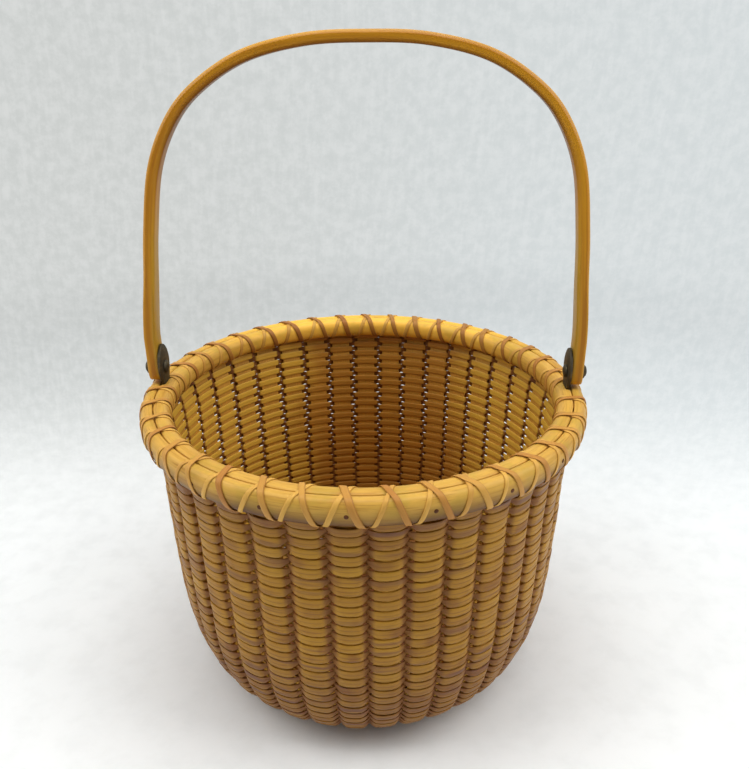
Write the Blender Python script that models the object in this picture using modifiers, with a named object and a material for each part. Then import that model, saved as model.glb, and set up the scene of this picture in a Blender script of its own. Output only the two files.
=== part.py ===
"""Round woven basket with a turned wooden base and a riveted swing handle.

Metres, +Z up. The origin is the centre of the base's underside. The two
ears stand on the X axis, where the handle's pivot also lies, and the front
of the basket faces -Y.
"""
import math

import bmesh
import bpy
from mathutils import Matrix, Vector

# Overall size
SEAM_RADIUS = 0.0926            # middle of the gap between the two rim hoops
RIM_HEIGHT = 0.1375             # floor to the top of the hoops
CLEARANCE = 0.0003              # gap left between pieces that touch
RUNNING_CLEARANCE = 0.0003      # gap round what turns or is turned about
OVERRUN = 0.002                 # how far a cutter passes what it cuts
MERGE_DISTANCE = 0.00001

# Base: a turned disc with a groove round its edge for the staves' feet
BASE_RADIUS = 0.054
BASE_THICKNESS = 0.011
GROOVE_LEVEL = 0.0045           # underside to the middle of the groove
BASE_EDGE_ROUND = 0.0015
GROOVE_DEPTH = 0.007
BASE_STEPS = 48

# Staves: tapered uprights, one row of them round the basket
STAVE_COUNT = 39
STAVE_PHASE_SHARE = 0.1         # share of a pitch from the X axis to a stave
STAVE_FOOT_WIDTH = 0.0050
STAVE_TOP_WIDTH = 0.0080
STAVE_FOOT_THICKNESS = 0.0012
STAVE_THICKNESS = 0.0016
STAVE_TOP_THICKNESS = 0.0009    # thinned where the hoops hold it
STAVE_TOP_DROP = 0.0015         # the staves end this far below the hoops

# Woven wall: cane passing over and under the staves, as one fluted shell
CANE_THICKNESS = 0.0016
VALLEY_THICKNESS = 0.0022       # whole wall where the cane crosses over
WALL_SAMPLES = 3                # facets to each stave's column
# Middle line of the wall, from the base's edge to the hoops: the share of
# the way from the base's edge to the seam, and the share of the wall's rise
WALL_LINE_SHARES = (
    (0.000, 0.000),
    (0.310, 0.006),
    (0.530, 0.046),
    (0.707, 0.135),
    (0.838, 0.310),
    (0.892, 0.587),
    (0.925, 0.893),
    (1.000, 1.000),
)

# Rim hoops: two rounded hoops that clamp the staves' tops
HOOP_HEIGHT = 0.0108
INNER_HEIGHT_SHARE = 0.90       # the inner hoop's height, tops level
OUTER_HOOP_THICKNESS = 0.0050
INNER_HOOP_THICKNESS = 0.0066
# Hoop's section, top to bottom: shares of its thickness and of half its height
HOOP_SECTION_SHARES = (
    (0.00, 0.70),
    (0.40, 1.00),
    (0.80, 0.84),
    (1.00, 0.34),
    (1.00, -0.34),
    (0.80, -0.84),
    (0.40, -1.00),
    (0.00, -0.70),
)

# Lashing: one strip wound round both hoops, through the gap under them
LASHING_THICKNESS = 0.0006
LASHING_WIDTH = 0.0028
LASHING_END_GAP = 0.0006        # between the strip's two ends, under the hoops
LASHING_EAR_SHARE = 0.5         # share of a pitch that wraps keep from an ear

# Ears: brass plates that stand in the rim and carry the handle
EAR_THICKNESS = 0.0014
EAR_WIDTH = 0.0130
EAR_SHANK_WIDTH = 0.0080
EAR_HEIGHT = 0.0182             # above the hoops
EAR_DEPTH = 0.0080              # below the top of the hoops
EAR_NECK_HEIGHT = 0.0006        # the shank's width reaches this far up
EAR_ARC_POINTS = 9

# Handle: a bent strap of two like limbs that lean a little to one side
PIVOT_RISE = 0.0072             # hoop tops to the pivot
HANDLE_RISE = 0.1353            # pivot to the middle of the strap's crown
HANDLE_THICKNESS = 0.0050
HANDLE_CROWN_THICKNESS = 0.0046
HANDLE_WIDTH = 0.0090
HANDLE_CROWN_WIDTH = 0.0080
HANDLE_TIP = 0.0060             # pivot to the strap's end
HANDLE_CHAMFER = 0.0013
HANDLE_STRAIGHT = 0.0150        # the limbs stand plumb this far above the pivot
HANDLE_LEAN = 0.0026            # how far the crown stands toward +X
CHAMFER_STOP = 0.0380           # the chamfers begin this far above the pivot
CHAMFER_RUN = 0.0030            # length over which they start
HANDLE_STEPS = 3                # rings to each span of the bend
# Middle line of one limb above its plumb part: shares of half span and rise
HANDLE_LINE_SHARES = (
    (0.974, 0.300),
    (0.950, 0.460),
    (0.905, 0.640),
    (0.820, 0.772),
    (0.700, 0.866),
    (0.500, 0.950),
    (0.250, 0.992),
    (0.000, 1.000),
)
# Rounding of the strap's end: shares of the tip's length and of the width
HANDLE_TIP_SHARES = ((1.00, 0.30), (0.93, 0.58), (0.70, 0.87), (0.30, 1.00))

# Rivets and washers
RIVET_RADIUS = 0.0015
RIVET_HEAD_RADIUS = 0.0030
RIVET_HEAD_HEIGHT = 0.0012
PEEN_RADIUS = 0.0025
PEEN_HEIGHT = 0.0009
WASHER_RADIUS = 0.0034
WASHER_THICKNESS = 0.0007
RIVET_STEPS = 16
DOME_POINTS = 3

# Derived places
FULL_TURN = 2 * math.pi
STAVE_PITCH = FULL_TURN / STAVE_COUNT
FACET_REACH = 1 / math.cos(STAVE_PITCH / 2)     # facet's middle to its edge
GROOVE_HEIGHT = STAVE_FOOT_THICKNESS + 2 * CLEARANCE
SEAM_WIDTH = STAVE_TOP_THICKNESS + 2 * CLEARANCE
HOOP_BOTTOM = RIM_HEIGHT - HOOP_HEIGHT
WALL_TOP = HOOP_BOTTOM - LASHING_THICKNESS - 2 * CLEARANCE
WALL_FOOT_RADIUS = BASE_RADIUS + CLEARANCE
CREST_THICKNESS = STAVE_THICKNESS + 2 * CANE_THICKNESS
PIVOT_HEIGHT = RIM_HEIGHT + PIVOT_RISE
EAR_OUTER_FACE = math.sqrt(
    (SEAM_RADIUS - STAVE_TOP_THICKNESS / 2 - CLEARANCE) ** 2 - (EAR_SHANK_WIDTH / 2) ** 2
)
EAR_INNER_FACE = EAR_OUTER_FACE - EAR_THICKNESS
HANDLE_INNER_FACE = EAR_OUTER_FACE + RUNNING_CLEARANCE
HANDLE_OUTER_FACE = HANDLE_INNER_FACE + HANDLE_THICKNESS
HANDLE_HALF_SPAN = HANDLE_INNER_FACE + HANDLE_THICKNESS / 2
RIVET_HOLE_RADIUS = RIVET_RADIUS + RUNNING_CLEARANCE
WASHER_INNER_FACE = HANDLE_OUTER_FACE + RUNNING_CLEARANCE
PEEN_FACE = WASHER_INNER_FACE + WASHER_THICKNESS + CLEARANCE
RIVET_HEAD_FACE = EAR_INNER_FACE - CLEARANCE

COLLECTION = bpy.data.collections.new("handled_basket")
CUTTERS = bpy.data.collections.new("cutters")


def clear_scene():
    """Remove whatever the open file holds and add this model's collections."""
    for item in list(bpy.data.objects):
        bpy.data.objects.remove(item, do_unlink=True)
    bpy.context.scene.collection.children.link(COLLECTION)
    bpy.context.scene.collection.children.link(CUTTERS)


def material(name, colour, roughness, metallic=0.0):
    """A Principled material of one colour."""
    made = bpy.data.materials.new(name)
    made.use_nodes = True
    shader = made.node_tree.nodes["Principled BSDF"]
    shader.inputs["Base Color"].default_value = (*colour, 1.0)
    shader.inputs["Roughness"].default_value = roughness
    shader.inputs["Metallic"].default_value = metallic
    made.diffuse_color = (*colour, 1.0)
    return made


def add_object(name, mesh, collection=COLLECTION, surface=None):
    """An object with the mesh, in its collection, with its material."""
    thing = bpy.data.objects.new(name, mesh)
    collection.objects.link(thing)
    if surface is not None and not mesh.materials:
        mesh.materials.append(surface)
    return thing


def as_cutter(thing):
    """Mark an object as a cutter that is not part of the model."""
    thing.hide_render = True
    thing.display_type = "WIRE"
    return thing


def cut(thing, cutter, label):
    """Subtract the cutter from the object."""
    boolean = thing.modifiers.new(label, "BOOLEAN")
    boolean.operation = "DIFFERENCE"
    boolean.solver = "EXACT"
    boolean.object = cutter
    return boolean


def smooth_shading(mesh):
    """Shade the mesh smooth, apart from its sharp edges."""
    mesh.shade_smooth()
    mesh.set_sharp_from_angle(angle=math.radians(35))


def baked_mesh(thing, name):
    """The object's evaluated mesh as a mesh of its own, with its caps welded."""
    depsgraph = bpy.context.evaluated_depsgraph_get()
    mesh = bpy.data.meshes.new_from_object(thing.evaluated_get(depsgraph))
    mesh.name = name
    work = bmesh.new()
    work.from_mesh(mesh)
    bmesh.ops.remove_doubles(work, verts=work.verts, dist=MERGE_DISTANCE)
    bmesh.ops.recalc_face_normals(work, faces=work.faces)
    work.to_mesh(mesh)
    work.free()
    return mesh


def turned(name, outline, steps, closed, collection=COLLECTION, surface=None):
    """Turn an outline of (radius, height) points about the Z axis."""
    points = [(radius, 0.0, height) for radius, height in outline]
    edges = [(index, index + 1) for index in range(len(points) - 1)]
    if closed:
        edges.append((len(points) - 1, 0))
    mesh = bpy.data.meshes.new(name)
    mesh.from_pydata(points, edges, [])
    thing = add_object(name, mesh, collection, surface)
    screw = thing.modifiers.new("Turn", "SCREW")
    screw.axis = "Z"
    screw.angle = FULL_TURN
    screw.steps = steps
    screw.render_steps = steps
    screw.use_merge_vertices = True
    screw.merge_threshold = MERGE_DISTANCE
    screw.use_smooth_shade = True
    return thing


def lofted_mesh(name, rings):
    """Skin a row of rings that have equally many points, and cap its ends."""
    work = bmesh.new()
    loops = [[work.verts.new(point) for point in ring] for ring in rings]
    count = len(loops[0])
    for first, second in zip(loops, loops[1:]):
        for index in range(count):
            after = (index + 1) % count
            work.faces.new((first[index], first[after], second[after], second[index]))
    work.faces.new(list(reversed(loops[0])))
    work.faces.new(loops[-1])
    bmesh.ops.recalc_face_normals(work, faces=work.faces)
    mesh = bpy.data.meshes.new(name)
    work.to_mesh(mesh)
    work.free()
    return mesh


def cylinder(name, radius, start, end, height, steps, collection=CUTTERS):
    """A cylinder along X, from one X to another, at a height."""
    work = bmesh.new()
    bmesh.ops.create_cone(
        work, cap_ends=True, segments=steps, radius1=radius, radius2=radius, depth=end - start
    )
    mesh = bpy.data.meshes.new(name)
    work.to_mesh(mesh)
    work.free()
    thing = add_object(name, mesh, collection)
    thing.rotation_euler = (0.0, math.pi / 2, 0.0)
    thing.location = ((start + end) / 2, 0.0, height)
    return thing


def box(name, low, high, collection=CUTTERS):
    """A box from its lowest to its highest corner."""
    work = bmesh.new()
    bmesh.ops.create_cube(work, size=1.0)
    size = Vector(high) - Vector(low)
    middle = (Vector(high) + Vector(low)) / 2
    bmesh.ops.transform(work, matrix=Matrix.Diagonal((*size, 1.0)), verts=work.verts)
    mesh = bpy.data.meshes.new(name)
    work.to_mesh(mesh)
    work.free()
    thing = add_object(name, mesh, collection)
    thing.location = middle
    return thing


def smooth_line(points, steps):
    """A Catmull-Rom line from a plumb start to a crown on the Z axis."""
    below = Vector((points[0].x, 2 * points[0].y - points[1].y))
    beyond = Vector((-points[-2].x, points[-2].y))
    ends = [below] + list(points) + [beyond]
    line = []
    for index in range(1, len(ends) - 2):
        before, first, second, after = ends[index - 1:index + 3]
        for step in range(steps):
            t = step / steps
            line.append(
                0.5 * (
                    2 * first
                    + (second - before) * t
                    + (2 * before - 5 * first + 4 * second - after) * t ** 2
                    + (3 * first - before - 3 * second + after) * t ** 3
                )
            )
    line.append(points[-1].copy())
    return line


def wall_line():
    """Middle line of the wall as (radius, height), base edge to hoops."""
    reach = SEAM_RADIUS - WALL_FOOT_RADIUS
    rise = WALL_TOP - GROOVE_LEVEL
    return [
        Vector((WALL_FOOT_RADIUS + reach * out, GROOVE_LEVEL + rise * up))
        for out, up in WALL_LINE_SHARES
    ]


def line_normals(line):
    """Unit normals of a line of (radius, height) points, pointing outward."""
    normals = []
    for index, point in enumerate(line):
        before = line[max(index - 1, 0)]
        after = line[min(index + 1, len(line) - 1)]
        way = (after - before).normalized()
        normals.append(Vector((way.y, -way.x)))
    return normals


def stave_line():
    """The stave's middle line, groove to rim, with width and thickness."""
    wall = wall_line()
    foot = Vector((BASE_RADIUS - GROOVE_DEPTH + CLEARANCE, GROOVE_LEVEL))
    head = Vector((SEAM_RADIUS, RIM_HEIGHT - STAVE_TOP_DROP))
    line = [foot] + wall + [head]
    lengths = [0.0]
    for first, second in zip(line, line[1:]):
        lengths.append(lengths[-1] + (second - first).length)
    sizes = []
    for index, length in enumerate(lengths):
        share = length / lengths[-1]
        width = STAVE_FOOT_WIDTH + (STAVE_TOP_WIDTH - STAVE_FOOT_WIDTH) * share
        if index <= 1:
            thickness = STAVE_FOOT_THICKNESS
        elif index >= len(line) - 2:
            thickness = STAVE_TOP_THICKNESS
        else:
            thickness = STAVE_THICKNESS
        sizes.append((width, thickness))
    normals = line_normals(line)
    normals[0] = Vector((0.0, -1.0))
    normals[1] = Vector((0.0, -1.0))
    normals[-2] = Vector((1.0, 0.0))
    normals[-1] = Vector((1.0, 0.0))
    return line, normals, sizes


def stave_rings(growth, overrun):
    """Rings of one stave at +X, grown all round, run past the wall's ends."""
    line, normals, sizes = stave_line()
    if overrun:
        line = [line[1] - Vector((overrun, 0.0))] + line[1:-1] + [line[-2] + Vector((0.0, overrun))]
    rings = []
    for point, normal, (width, thickness) in zip(line, normals, sizes):
        half_width = width / 2 + growth
        half_thickness = thickness / 2 + growth
        ring = []
        for side, face in ((-1, -1), (1, -1), (1, 1), (-1, 1)):
            place = point + normal * half_thickness * face
            ring.append((place.x, side * half_width, place.y))
        rings.append(ring)
    return rings


def stave_angle(index):
    """Angle about Z of a stave's middle."""
    return (index + STAVE_PHASE_SHARE) * STAVE_PITCH


def build_base(surface):
    """The turned base, with the groove for the staves round its edge."""
    groove_top = GROOVE_LEVEL + GROOVE_HEIGHT / 2
    groove_bottom = GROOVE_LEVEL - GROOVE_HEIGHT / 2
    outline = [
        (0.0, BASE_THICKNESS),
        (BASE_RADIUS - BASE_EDGE_ROUND, BASE_THICKNESS),
        (BASE_RADIUS, BASE_THICKNESS - BASE_EDGE_ROUND),
        (BASE_RADIUS, groove_top),
        (BASE_RADIUS - GROOVE_DEPTH, groove_top),
        (BASE_RADIUS - GROOVE_DEPTH, groove_bottom),
        (BASE_RADIUS, groove_bottom),
        (BASE_RADIUS, BASE_EDGE_ROUND),
        (BASE_RADIUS - BASE_EDGE_ROUND, 0.0),
        (0.0, 0.0),
    ]
    return turned("base", outline, BASE_STEPS, False, surface=surface)


def build_staves(surface):
    """The row of staves, which share one mesh."""
    mesh = lofted_mesh("stave", stave_rings(0.0, 0.0))
    staves = []
    for index in range(STAVE_COUNT):
        stave = add_object("stave_%02d" % (index + 1), mesh, surface=surface)
        stave.rotation_euler = (0.0, 0.0, stave_angle(index))
        staves.append(stave)
    return staves


def build_wall(surface):
    """The woven wall: a shell that swells over each stave, with its slots."""
    line = wall_line()
    normals = line_normals(line)
    normals[0] = Vector((0.0, -1.0))
    normals[-1] = Vector((1.0, 0.0))
    half = CREST_THICKNESS / 2
    outer = [point + normal * half for point, normal in zip(line, normals)]
    inner = [point - normal * half for point, normal in zip(line, normals)]
    outline = [tuple(point) for point in reversed(outer)] + [tuple(point) for point in inner]
    blank = turned("wall_blank", outline, STAVE_COUNT * WALL_SAMPLES, True, CUTTERS)
    # A valley edge of the turned blank comes halfway between two staves
    blank.rotation_euler = (0.0, 0.0, stave_angle(0) + STAVE_PITCH / 2)
    mesh = baked_mesh(blank, "woven_wall")
    mesh.transform(blank.matrix_basis)
    bpy.data.objects.remove(blank)
    valley_share = VALLEY_THICKNESS / CREST_THICKNESS
    for vertex in mesh.vertices:
        spot = Vector((math.hypot(vertex.co.x, vertex.co.y), vertex.co.z))
        angle = math.atan2(vertex.co.y, vertex.co.x)
        turn = (angle - stave_angle(0)) / STAVE_PITCH
        from_crest = abs(turn - round(turn))
        if from_crest < 1 / WALL_SAMPLES:
            continue
        middle = min(line, key=lambda point: (point - spot).length)
        spot = middle + (spot - middle) * valley_share
        vertex.co = (spot.x * math.cos(angle), spot.x * math.sin(angle), spot.y)
    smooth_shading(mesh)
    wall = add_object("woven_wall", mesh, surface=surface)

    slot = lofted_mesh("slot", stave_rings(CLEARANCE, OVERRUN))
    work = bmesh.new()
    for index in range(STAVE_COUNT):
        known = set(work.verts)
        work.from_mesh(slot)
        fresh = [vertex for vertex in work.verts if vertex not in known]
        spin = Matrix.Rotation(stave_angle(index), 4, "Z")
        bmesh.ops.transform(work, matrix=spin, verts=fresh)
    slots = bpy.data.meshes.new("stave_slots")
    work.to_mesh(slots)
    work.free()
    cutter = as_cutter(add_object("stave_slots", slots, CUTTERS))
    cut(wall, cutter, "Stave slots")
    return wall


def hoop_outline(side, growth=0.0):
    """Rounded section, top to bottom, of the outer (1) or inner (-1) hoop."""
    seam = SEAM_RADIUS + side * SEAM_WIDTH / 2
    thickness = (OUTER_HOOP_THICKNESS if side > 0 else INNER_HOOP_THICKNESS) + growth
    half_height = HOOP_HEIGHT * (1 if side > 0 else INNER_HEIGHT_SHARE) / 2
    middle = RIM_HEIGHT - half_height
    half_height += growth
    return [
        (seam + side * thickness * across, middle + half_height * up)
        for across, up in HOOP_SECTION_SHARES
    ]


def build_hoops(surface):
    """The inner and outer rim hoops, the inner one notched for the ears."""
    # A flat facet of each hoop lies against each stave
    outlines = [[(radius * FACET_REACH, height) for radius, height in hoop_outline(side)] for side in (1, -1)]
    outer = turned("outer_hoop", outlines[0], STAVE_COUNT, True, surface=surface)
    inner = turned("inner_hoop", list(reversed(outlines[1])), STAVE_COUNT, True, surface=surface)
    for hoop in (outer, inner):
        hoop.rotation_euler = (0.0, 0.0, stave_angle(0) + STAVE_PITCH / 2)
    notch_half = EAR_SHANK_WIDTH / 2 + CLEARANCE
    for side, label in ((1, "right"), (-1, "left")):
        near = side * (EAR_INNER_FACE - CLEARANCE)
        far = side * (SEAM_RADIUS + SEAM_WIDTH / 2)
        cutter = box(
            "ear_notch_" + label,
            (min(near, far), -notch_half, RIM_HEIGHT - EAR_DEPTH - CLEARANCE),
            (max(near, far), notch_half, RIM_HEIGHT + OVERRUN),
        )
        cut(inner, as_cutter(cutter), "Ear notch " + label)
    return outer, inner


def lashing_stations():
    """Places round the rim's section: radius, height, way out, share wound."""
    growth = LASHING_THICKNESS / 2 + 1.3 * CLEARANCE
    outer = [(radius * FACET_REACH, height) for radius, height in hoop_outline(1, growth)[1:-1]]
    inner = hoop_outline(-1, growth)[1:-1]
    top = (SEAM_RADIUS, RIM_HEIGHT + growth)
    bottom = (SEAM_RADIUS, HOOP_BOTTOM - LASHING_THICKNESS / 2 - CLEARANCE)
    section = [Vector(place) for place in [bottom] + list(reversed(outer)) + [top] + inner]
    stations = []
    for index, place in enumerate(section):
        before = section[index - 1]
        after = section[(index + 1) % len(section)]
        way = (after - before).normalized()
        stations.append((place, Vector((way.y, -way.x)), index / len(section)))
    return stations


def least_gap(rings, wrap_length):
    """Least distance between points of neighbouring wraps of the strip."""
    least = math.inf
    for index, ring in enumerate(rings):
        for other in rings[index + wrap_length // 2:index + 2 * wrap_length]:
            least = min(least, min((first - second).length for first in ring for second in other))
    return least


def ear_lean(wrap):
    """Share of a pitch by which a wrap leans away from an ear beside it."""
    for ear_angle in (0.0, -math.pi, -FULL_TURN):
        away = (stave_angle(-wrap) - ear_angle) / STAVE_PITCH
        if abs(away) < LASHING_EAR_SHARE:
            return math.copysign(LASHING_EAR_SHARE - abs(away), away)
    return 0.0


def build_lashing(surface):
    """The strip wound over the hoops, one wrap to each stave."""
    stations = lashing_stations()
    valley = stave_angle(0) + STAVE_PITCH / 2
    places = []
    for wrap in range(STAVE_COUNT):
        lean = ear_lean(wrap)
        for place, out, share in stations:
            wound = share - lean * (1 - abs(2 * share - 1))
            angle = valley - (wrap + wound) * STAVE_PITCH
            middle = Vector((place.x * math.cos(angle), place.x * math.sin(angle), place.y))
            outward = Vector((out.x * math.cos(angle), out.x * math.sin(angle), out.y))
            places.append((middle, outward))
    way_home = 1 - LASHING_END_GAP / (places[0][0] - places[-1][0]).length
    places.append(tuple(end.lerp(start, way_home) for end, start in zip(places[-1], places[0])))
    rings = []
    for index, (middle, outward) in enumerate(places):
        before = places[max(index - 1, 0)][0]
        after = places[min(index + 1, len(places) - 1)][0]
        side = (after - before).cross(outward).normalized() * LASHING_WIDTH / 2
        up = outward * LASHING_THICKNESS / 2
        rings.append([middle - side - up, middle + side - up, middle + side + up, middle - side + up])
    millimetres = 1000
    print("lashing, least gap between wraps: %.2f mm" % (least_gap(rings, len(stations)) * millimetres))
    return add_object("rim_lashing", lofted_mesh("rim_lashing", rings), surface=surface)


def ear_outline():
    """Outline of an ear as (across, height above the hoops) points."""
    half = EAR_WIDTH / 2
    shank = EAR_SHANK_WIDTH / 2
    arc_rise = EAR_HEIGHT - PIVOT_RISE
    points = [(-shank, -EAR_DEPTH), (shank, -EAR_DEPTH), (shank, EAR_NECK_HEIGHT)]
    for index in range(EAR_ARC_POINTS):
        angle = math.pi * index / (EAR_ARC_POINTS - 1)
        across = half * math.cos(angle)
        points.append((across, PIVOT_RISE + arc_rise * math.sin(angle)))
    points.append((-shank, EAR_NECK_HEIGHT))
    return points


def build_ears(surface):
    """Two ears cut from plate, each with its rivet hole."""
    ears = []
    for side, label in ((1, "right"), (-1, "left")):
        curve = bpy.data.curves.new("ear_outline", "CURVE")
        curve.dimensions = "2D"
        curve.fill_mode = "BOTH"
        curve.extrude = EAR_THICKNESS / 2
        spline = curve.splines.new("POLY")
        points = ear_outline()
        spline.points.add(len(points) - 1)
        for point, (across, height) in zip(spline.points, points):
            point.co = (across, height, 0.0, 1.0)
        spline.use_cyclic_u = True
        flat = add_object("ear_flat", curve, CUTTERS)
        mesh = baked_mesh(flat, "ear_" + label)
        bpy.data.objects.remove(flat)
        ear = add_object("ear_" + label, mesh, surface=surface)
        ear.rotation_euler = (math.pi / 2, 0.0, math.pi / 2)
        ear.location = (side * (EAR_INNER_FACE + EAR_THICKNESS / 2), 0.0, RIM_HEIGHT)
        near = EAR_INNER_FACE - OVERRUN
        far = EAR_OUTER_FACE + OVERRUN
        hole = cylinder(
            "ear_hole_" + label, RIVET_HOLE_RADIUS, min(side * near, side * far),
            max(side * near, side * far), PIVOT_HEIGHT, RIVET_STEPS,
        )
        cut(ear, as_cutter(hole), "Rivet hole")
        ears.append(ear)
    return ears


def handle_section(width, thickness, chamfer):
    """Corners of the strap's section as (out of the bend, across) pairs."""
    out = thickness / 2
    side = width / 2
    return (
        (-out, -side + chamfer), (-out + chamfer, -side),
        (out - chamfer, -side), (out, -side + chamfer),
        (out, side - chamfer), (out - chamfer, side),
        (-out + chamfer, side), (-out, side - chamfer),
    )


def handle_stations():
    """Half of the strap, tip to crown: middle, width, thickness, chamfer."""
    places = [Vector((HANDLE_HALF_SPAN, HANDLE_STRAIGHT))]
    places += [
        Vector((HANDLE_HALF_SPAN * out, HANDLE_RISE * up)) for out, up in HANDLE_LINE_SHARES
    ]
    line = [Vector((HANDLE_HALF_SPAN, 0.0))] + smooth_line(places, HANDLE_STEPS)
    least_chamfer = HANDLE_CHAMFER / 5
    stations = []
    for down, share in HANDLE_TIP_SHARES:
        middle = Vector((HANDLE_HALF_SPAN, -HANDLE_TIP * down))
        stations.append((middle, HANDLE_WIDTH * share, HANDLE_THICKNESS, least_chamfer))
    for middle in line:
        share = middle.y / HANDLE_RISE
        width = HANDLE_WIDTH + (HANDLE_CROWN_WIDTH - HANDLE_WIDTH) * share
        thickness = HANDLE_THICKNESS + (HANDLE_CROWN_THICKNESS - HANDLE_THICKNESS) * share
        begun = min(max((middle.y - CHAMFER_STOP) / CHAMFER_RUN, 0.0), 1.0)
        chamfer = least_chamfer + (HANDLE_CHAMFER - least_chamfer) * begun
        stations.append((middle, width, thickness, chamfer))
    return stations


def build_handle(surface):
    """The swing handle, whose parent empty lies on its pivot axis."""
    half = handle_stations()
    mirrored = [(Vector((-m.x, m.y)), w, t, c) for m, w, t, c in reversed(half[:-1])]
    stations = half + mirrored
    for middle, *_ in stations:
        bent = max(middle.y - HANDLE_STRAIGHT, 0.0) / (HANDLE_RISE - HANDLE_STRAIGHT)
        middle.x += HANDLE_LEAN * bent
    rings = []
    for index, (middle, width, thickness, chamfer) in enumerate(stations):
        before = stations[max(index - 1, 0)][0]
        after = stations[min(index + 1, len(stations) - 1)][0]
        way = (after - before).normalized()
        out = Vector((way.y, -way.x))
        ring = []
        for outward, across in handle_section(width, thickness, chamfer):
            place = middle + out * outward
            ring.append((place.x, across, place.y))
        rings.append(ring)
    mesh = lofted_mesh("handle", rings)
    smooth_shading(mesh)
    pivot = bpy.data.objects.new("handle_pivot", None)
    pivot.location = (0.0, 0.0, PIVOT_HEIGHT)
    COLLECTION.objects.link(pivot)
    handle = add_object("handle", mesh, surface=surface)
    handle.parent = pivot
    for side, label in ((1, "right"), (-1, "left")):
        near = HANDLE_INNER_FACE - OVERRUN
        far = HANDLE_OUTER_FACE + OVERRUN
        hole = cylinder(
            "handle_hole_" + label, RIVET_HOLE_RADIUS, min(side * near, side * far),
            max(side * near, side * far), PIVOT_HEIGHT, RIVET_STEPS,
        )
        cut(handle, as_cutter(hole), "Rivet hole " + label)
    return handle


def dome(radius, height, level, upward):
    """Points of a low dome from its crown to its edge, or back if downward."""
    points = []
    for index in range(DOME_POINTS + 1):
        angle = math.pi / 2 * index / DOME_POINTS
        points.append((radius * math.sin(angle), level + upward * height * math.cos(angle)))
    return points if upward > 0 else list(reversed(points))


def build_rivets(metal):
    """A rivet and a washer at each end of the pivot axis."""
    made = []
    for side, label in ((1, "right"), (-1, "left")):
        outline = dome(PEEN_RADIUS, PEEN_HEIGHT, PEEN_FACE, 1)
        outline += [(RIVET_RADIUS, PEEN_FACE), (RIVET_RADIUS, RIVET_HEAD_FACE)]
        outline += dome(RIVET_HEAD_RADIUS, RIVET_HEAD_HEIGHT, RIVET_HEAD_FACE, -1)
        rivet = turned("rivet_" + label, outline, RIVET_STEPS, False, surface=metal)
        ring = [
            (WASHER_RADIUS, WASHER_INNER_FACE + WASHER_THICKNESS),
            (WASHER_RADIUS, WASHER_INNER_FACE),
            (RIVET_HOLE_RADIUS, WASHER_INNER_FACE),
            (RIVET_HOLE_RADIUS, WASHER_INNER_FACE + WASHER_THICKNESS),
        ]
        washer = turned("washer_" + label, ring, RIVET_STEPS, True, surface=metal)
        for thing in (rivet, washer):
            thing.location = (0.0, 0.0, PIVOT_HEIGHT)
            thing.rotation_euler = (0.0, side * math.pi / 2, 0.0)
            made.append(thing)
    return made


def main():
    """Build every piece of the basket."""
    clear_scene()
    build_base(material("base_wood", (0.40, 0.22, 0.08), 0.45))
    build_staves(material("stave_wood", (0.42, 0.24, 0.09), 0.55))
    build_wall(material("woven_cane", (0.60, 0.34, 0.11), 0.50))
    build_hoops(material("hoop_wood", (0.62, 0.38, 0.13), 0.45))
    build_lashing(material("lashing_cane", (0.50, 0.27, 0.09), 0.50))
    ear_brass = material("aged_brass", (0.12, 0.09, 0.05), 0.50, 1.0)
    build_ears(ear_brass)
    build_handle(material("handle_wood", (0.50, 0.25, 0.06), 0.35))
    build_rivets(material("rivet_brass", (0.14, 0.10, 0.06), 0.45, 1.0))


main()
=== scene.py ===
"""Looks of the handled basket: cane weave, lashed rim, brass ears and bent handle.

Metres, +Z up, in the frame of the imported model. The ears stand on the X axis
and the front of the basket faces -Y.
"""
import math

import bpy
import numpy as np
from mathutils import Matrix, Vector


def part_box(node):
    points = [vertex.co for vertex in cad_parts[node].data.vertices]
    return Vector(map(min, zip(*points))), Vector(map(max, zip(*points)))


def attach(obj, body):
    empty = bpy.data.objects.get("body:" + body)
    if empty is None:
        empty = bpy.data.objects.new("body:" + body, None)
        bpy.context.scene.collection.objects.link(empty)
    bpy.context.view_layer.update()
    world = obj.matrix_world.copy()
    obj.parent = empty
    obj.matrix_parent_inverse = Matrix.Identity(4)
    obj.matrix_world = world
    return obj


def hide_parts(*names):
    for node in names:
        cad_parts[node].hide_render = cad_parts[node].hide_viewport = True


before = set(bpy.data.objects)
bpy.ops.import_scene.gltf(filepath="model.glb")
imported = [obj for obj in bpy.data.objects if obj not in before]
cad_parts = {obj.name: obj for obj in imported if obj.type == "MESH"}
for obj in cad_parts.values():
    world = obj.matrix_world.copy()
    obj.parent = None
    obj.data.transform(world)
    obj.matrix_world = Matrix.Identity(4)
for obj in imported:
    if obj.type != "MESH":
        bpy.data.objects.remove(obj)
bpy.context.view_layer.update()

bl_info = {
    "name": "Handled basket",
    "version": (1, 0, 0),
    "blender": (4, 5, 0),
    "location": "3D View > Sidebar > Basket",
    "description": "Dresses the packed model of a woven basket with a swing handle",
    "category": "Add Mesh",
}

FULL_TURN = 2 * math.pi
STAVES = sorted(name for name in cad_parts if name.startswith("stave_"))
BODY = "basket"
HANDLE_BODY = "swing_handle"
RIM_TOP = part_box("outer_hoop")[1].z
RIM_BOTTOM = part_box("outer_hoop")[0].z
WALL_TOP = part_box("woven_wall")[1].z
BASE_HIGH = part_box("base")[1]
PIVOT_HEIGHT = (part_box("washer_left")[0].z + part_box("washer_left")[1].z) / 2
EAR_LOW, EAR_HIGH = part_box("ear_right")
HANDLE_LOW, HANDLE_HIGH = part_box("handle")
WASHER_LOW, WASHER_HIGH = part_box("washer_right")
RIVET_LOW, RIVET_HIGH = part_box("rivet_right")

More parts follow.
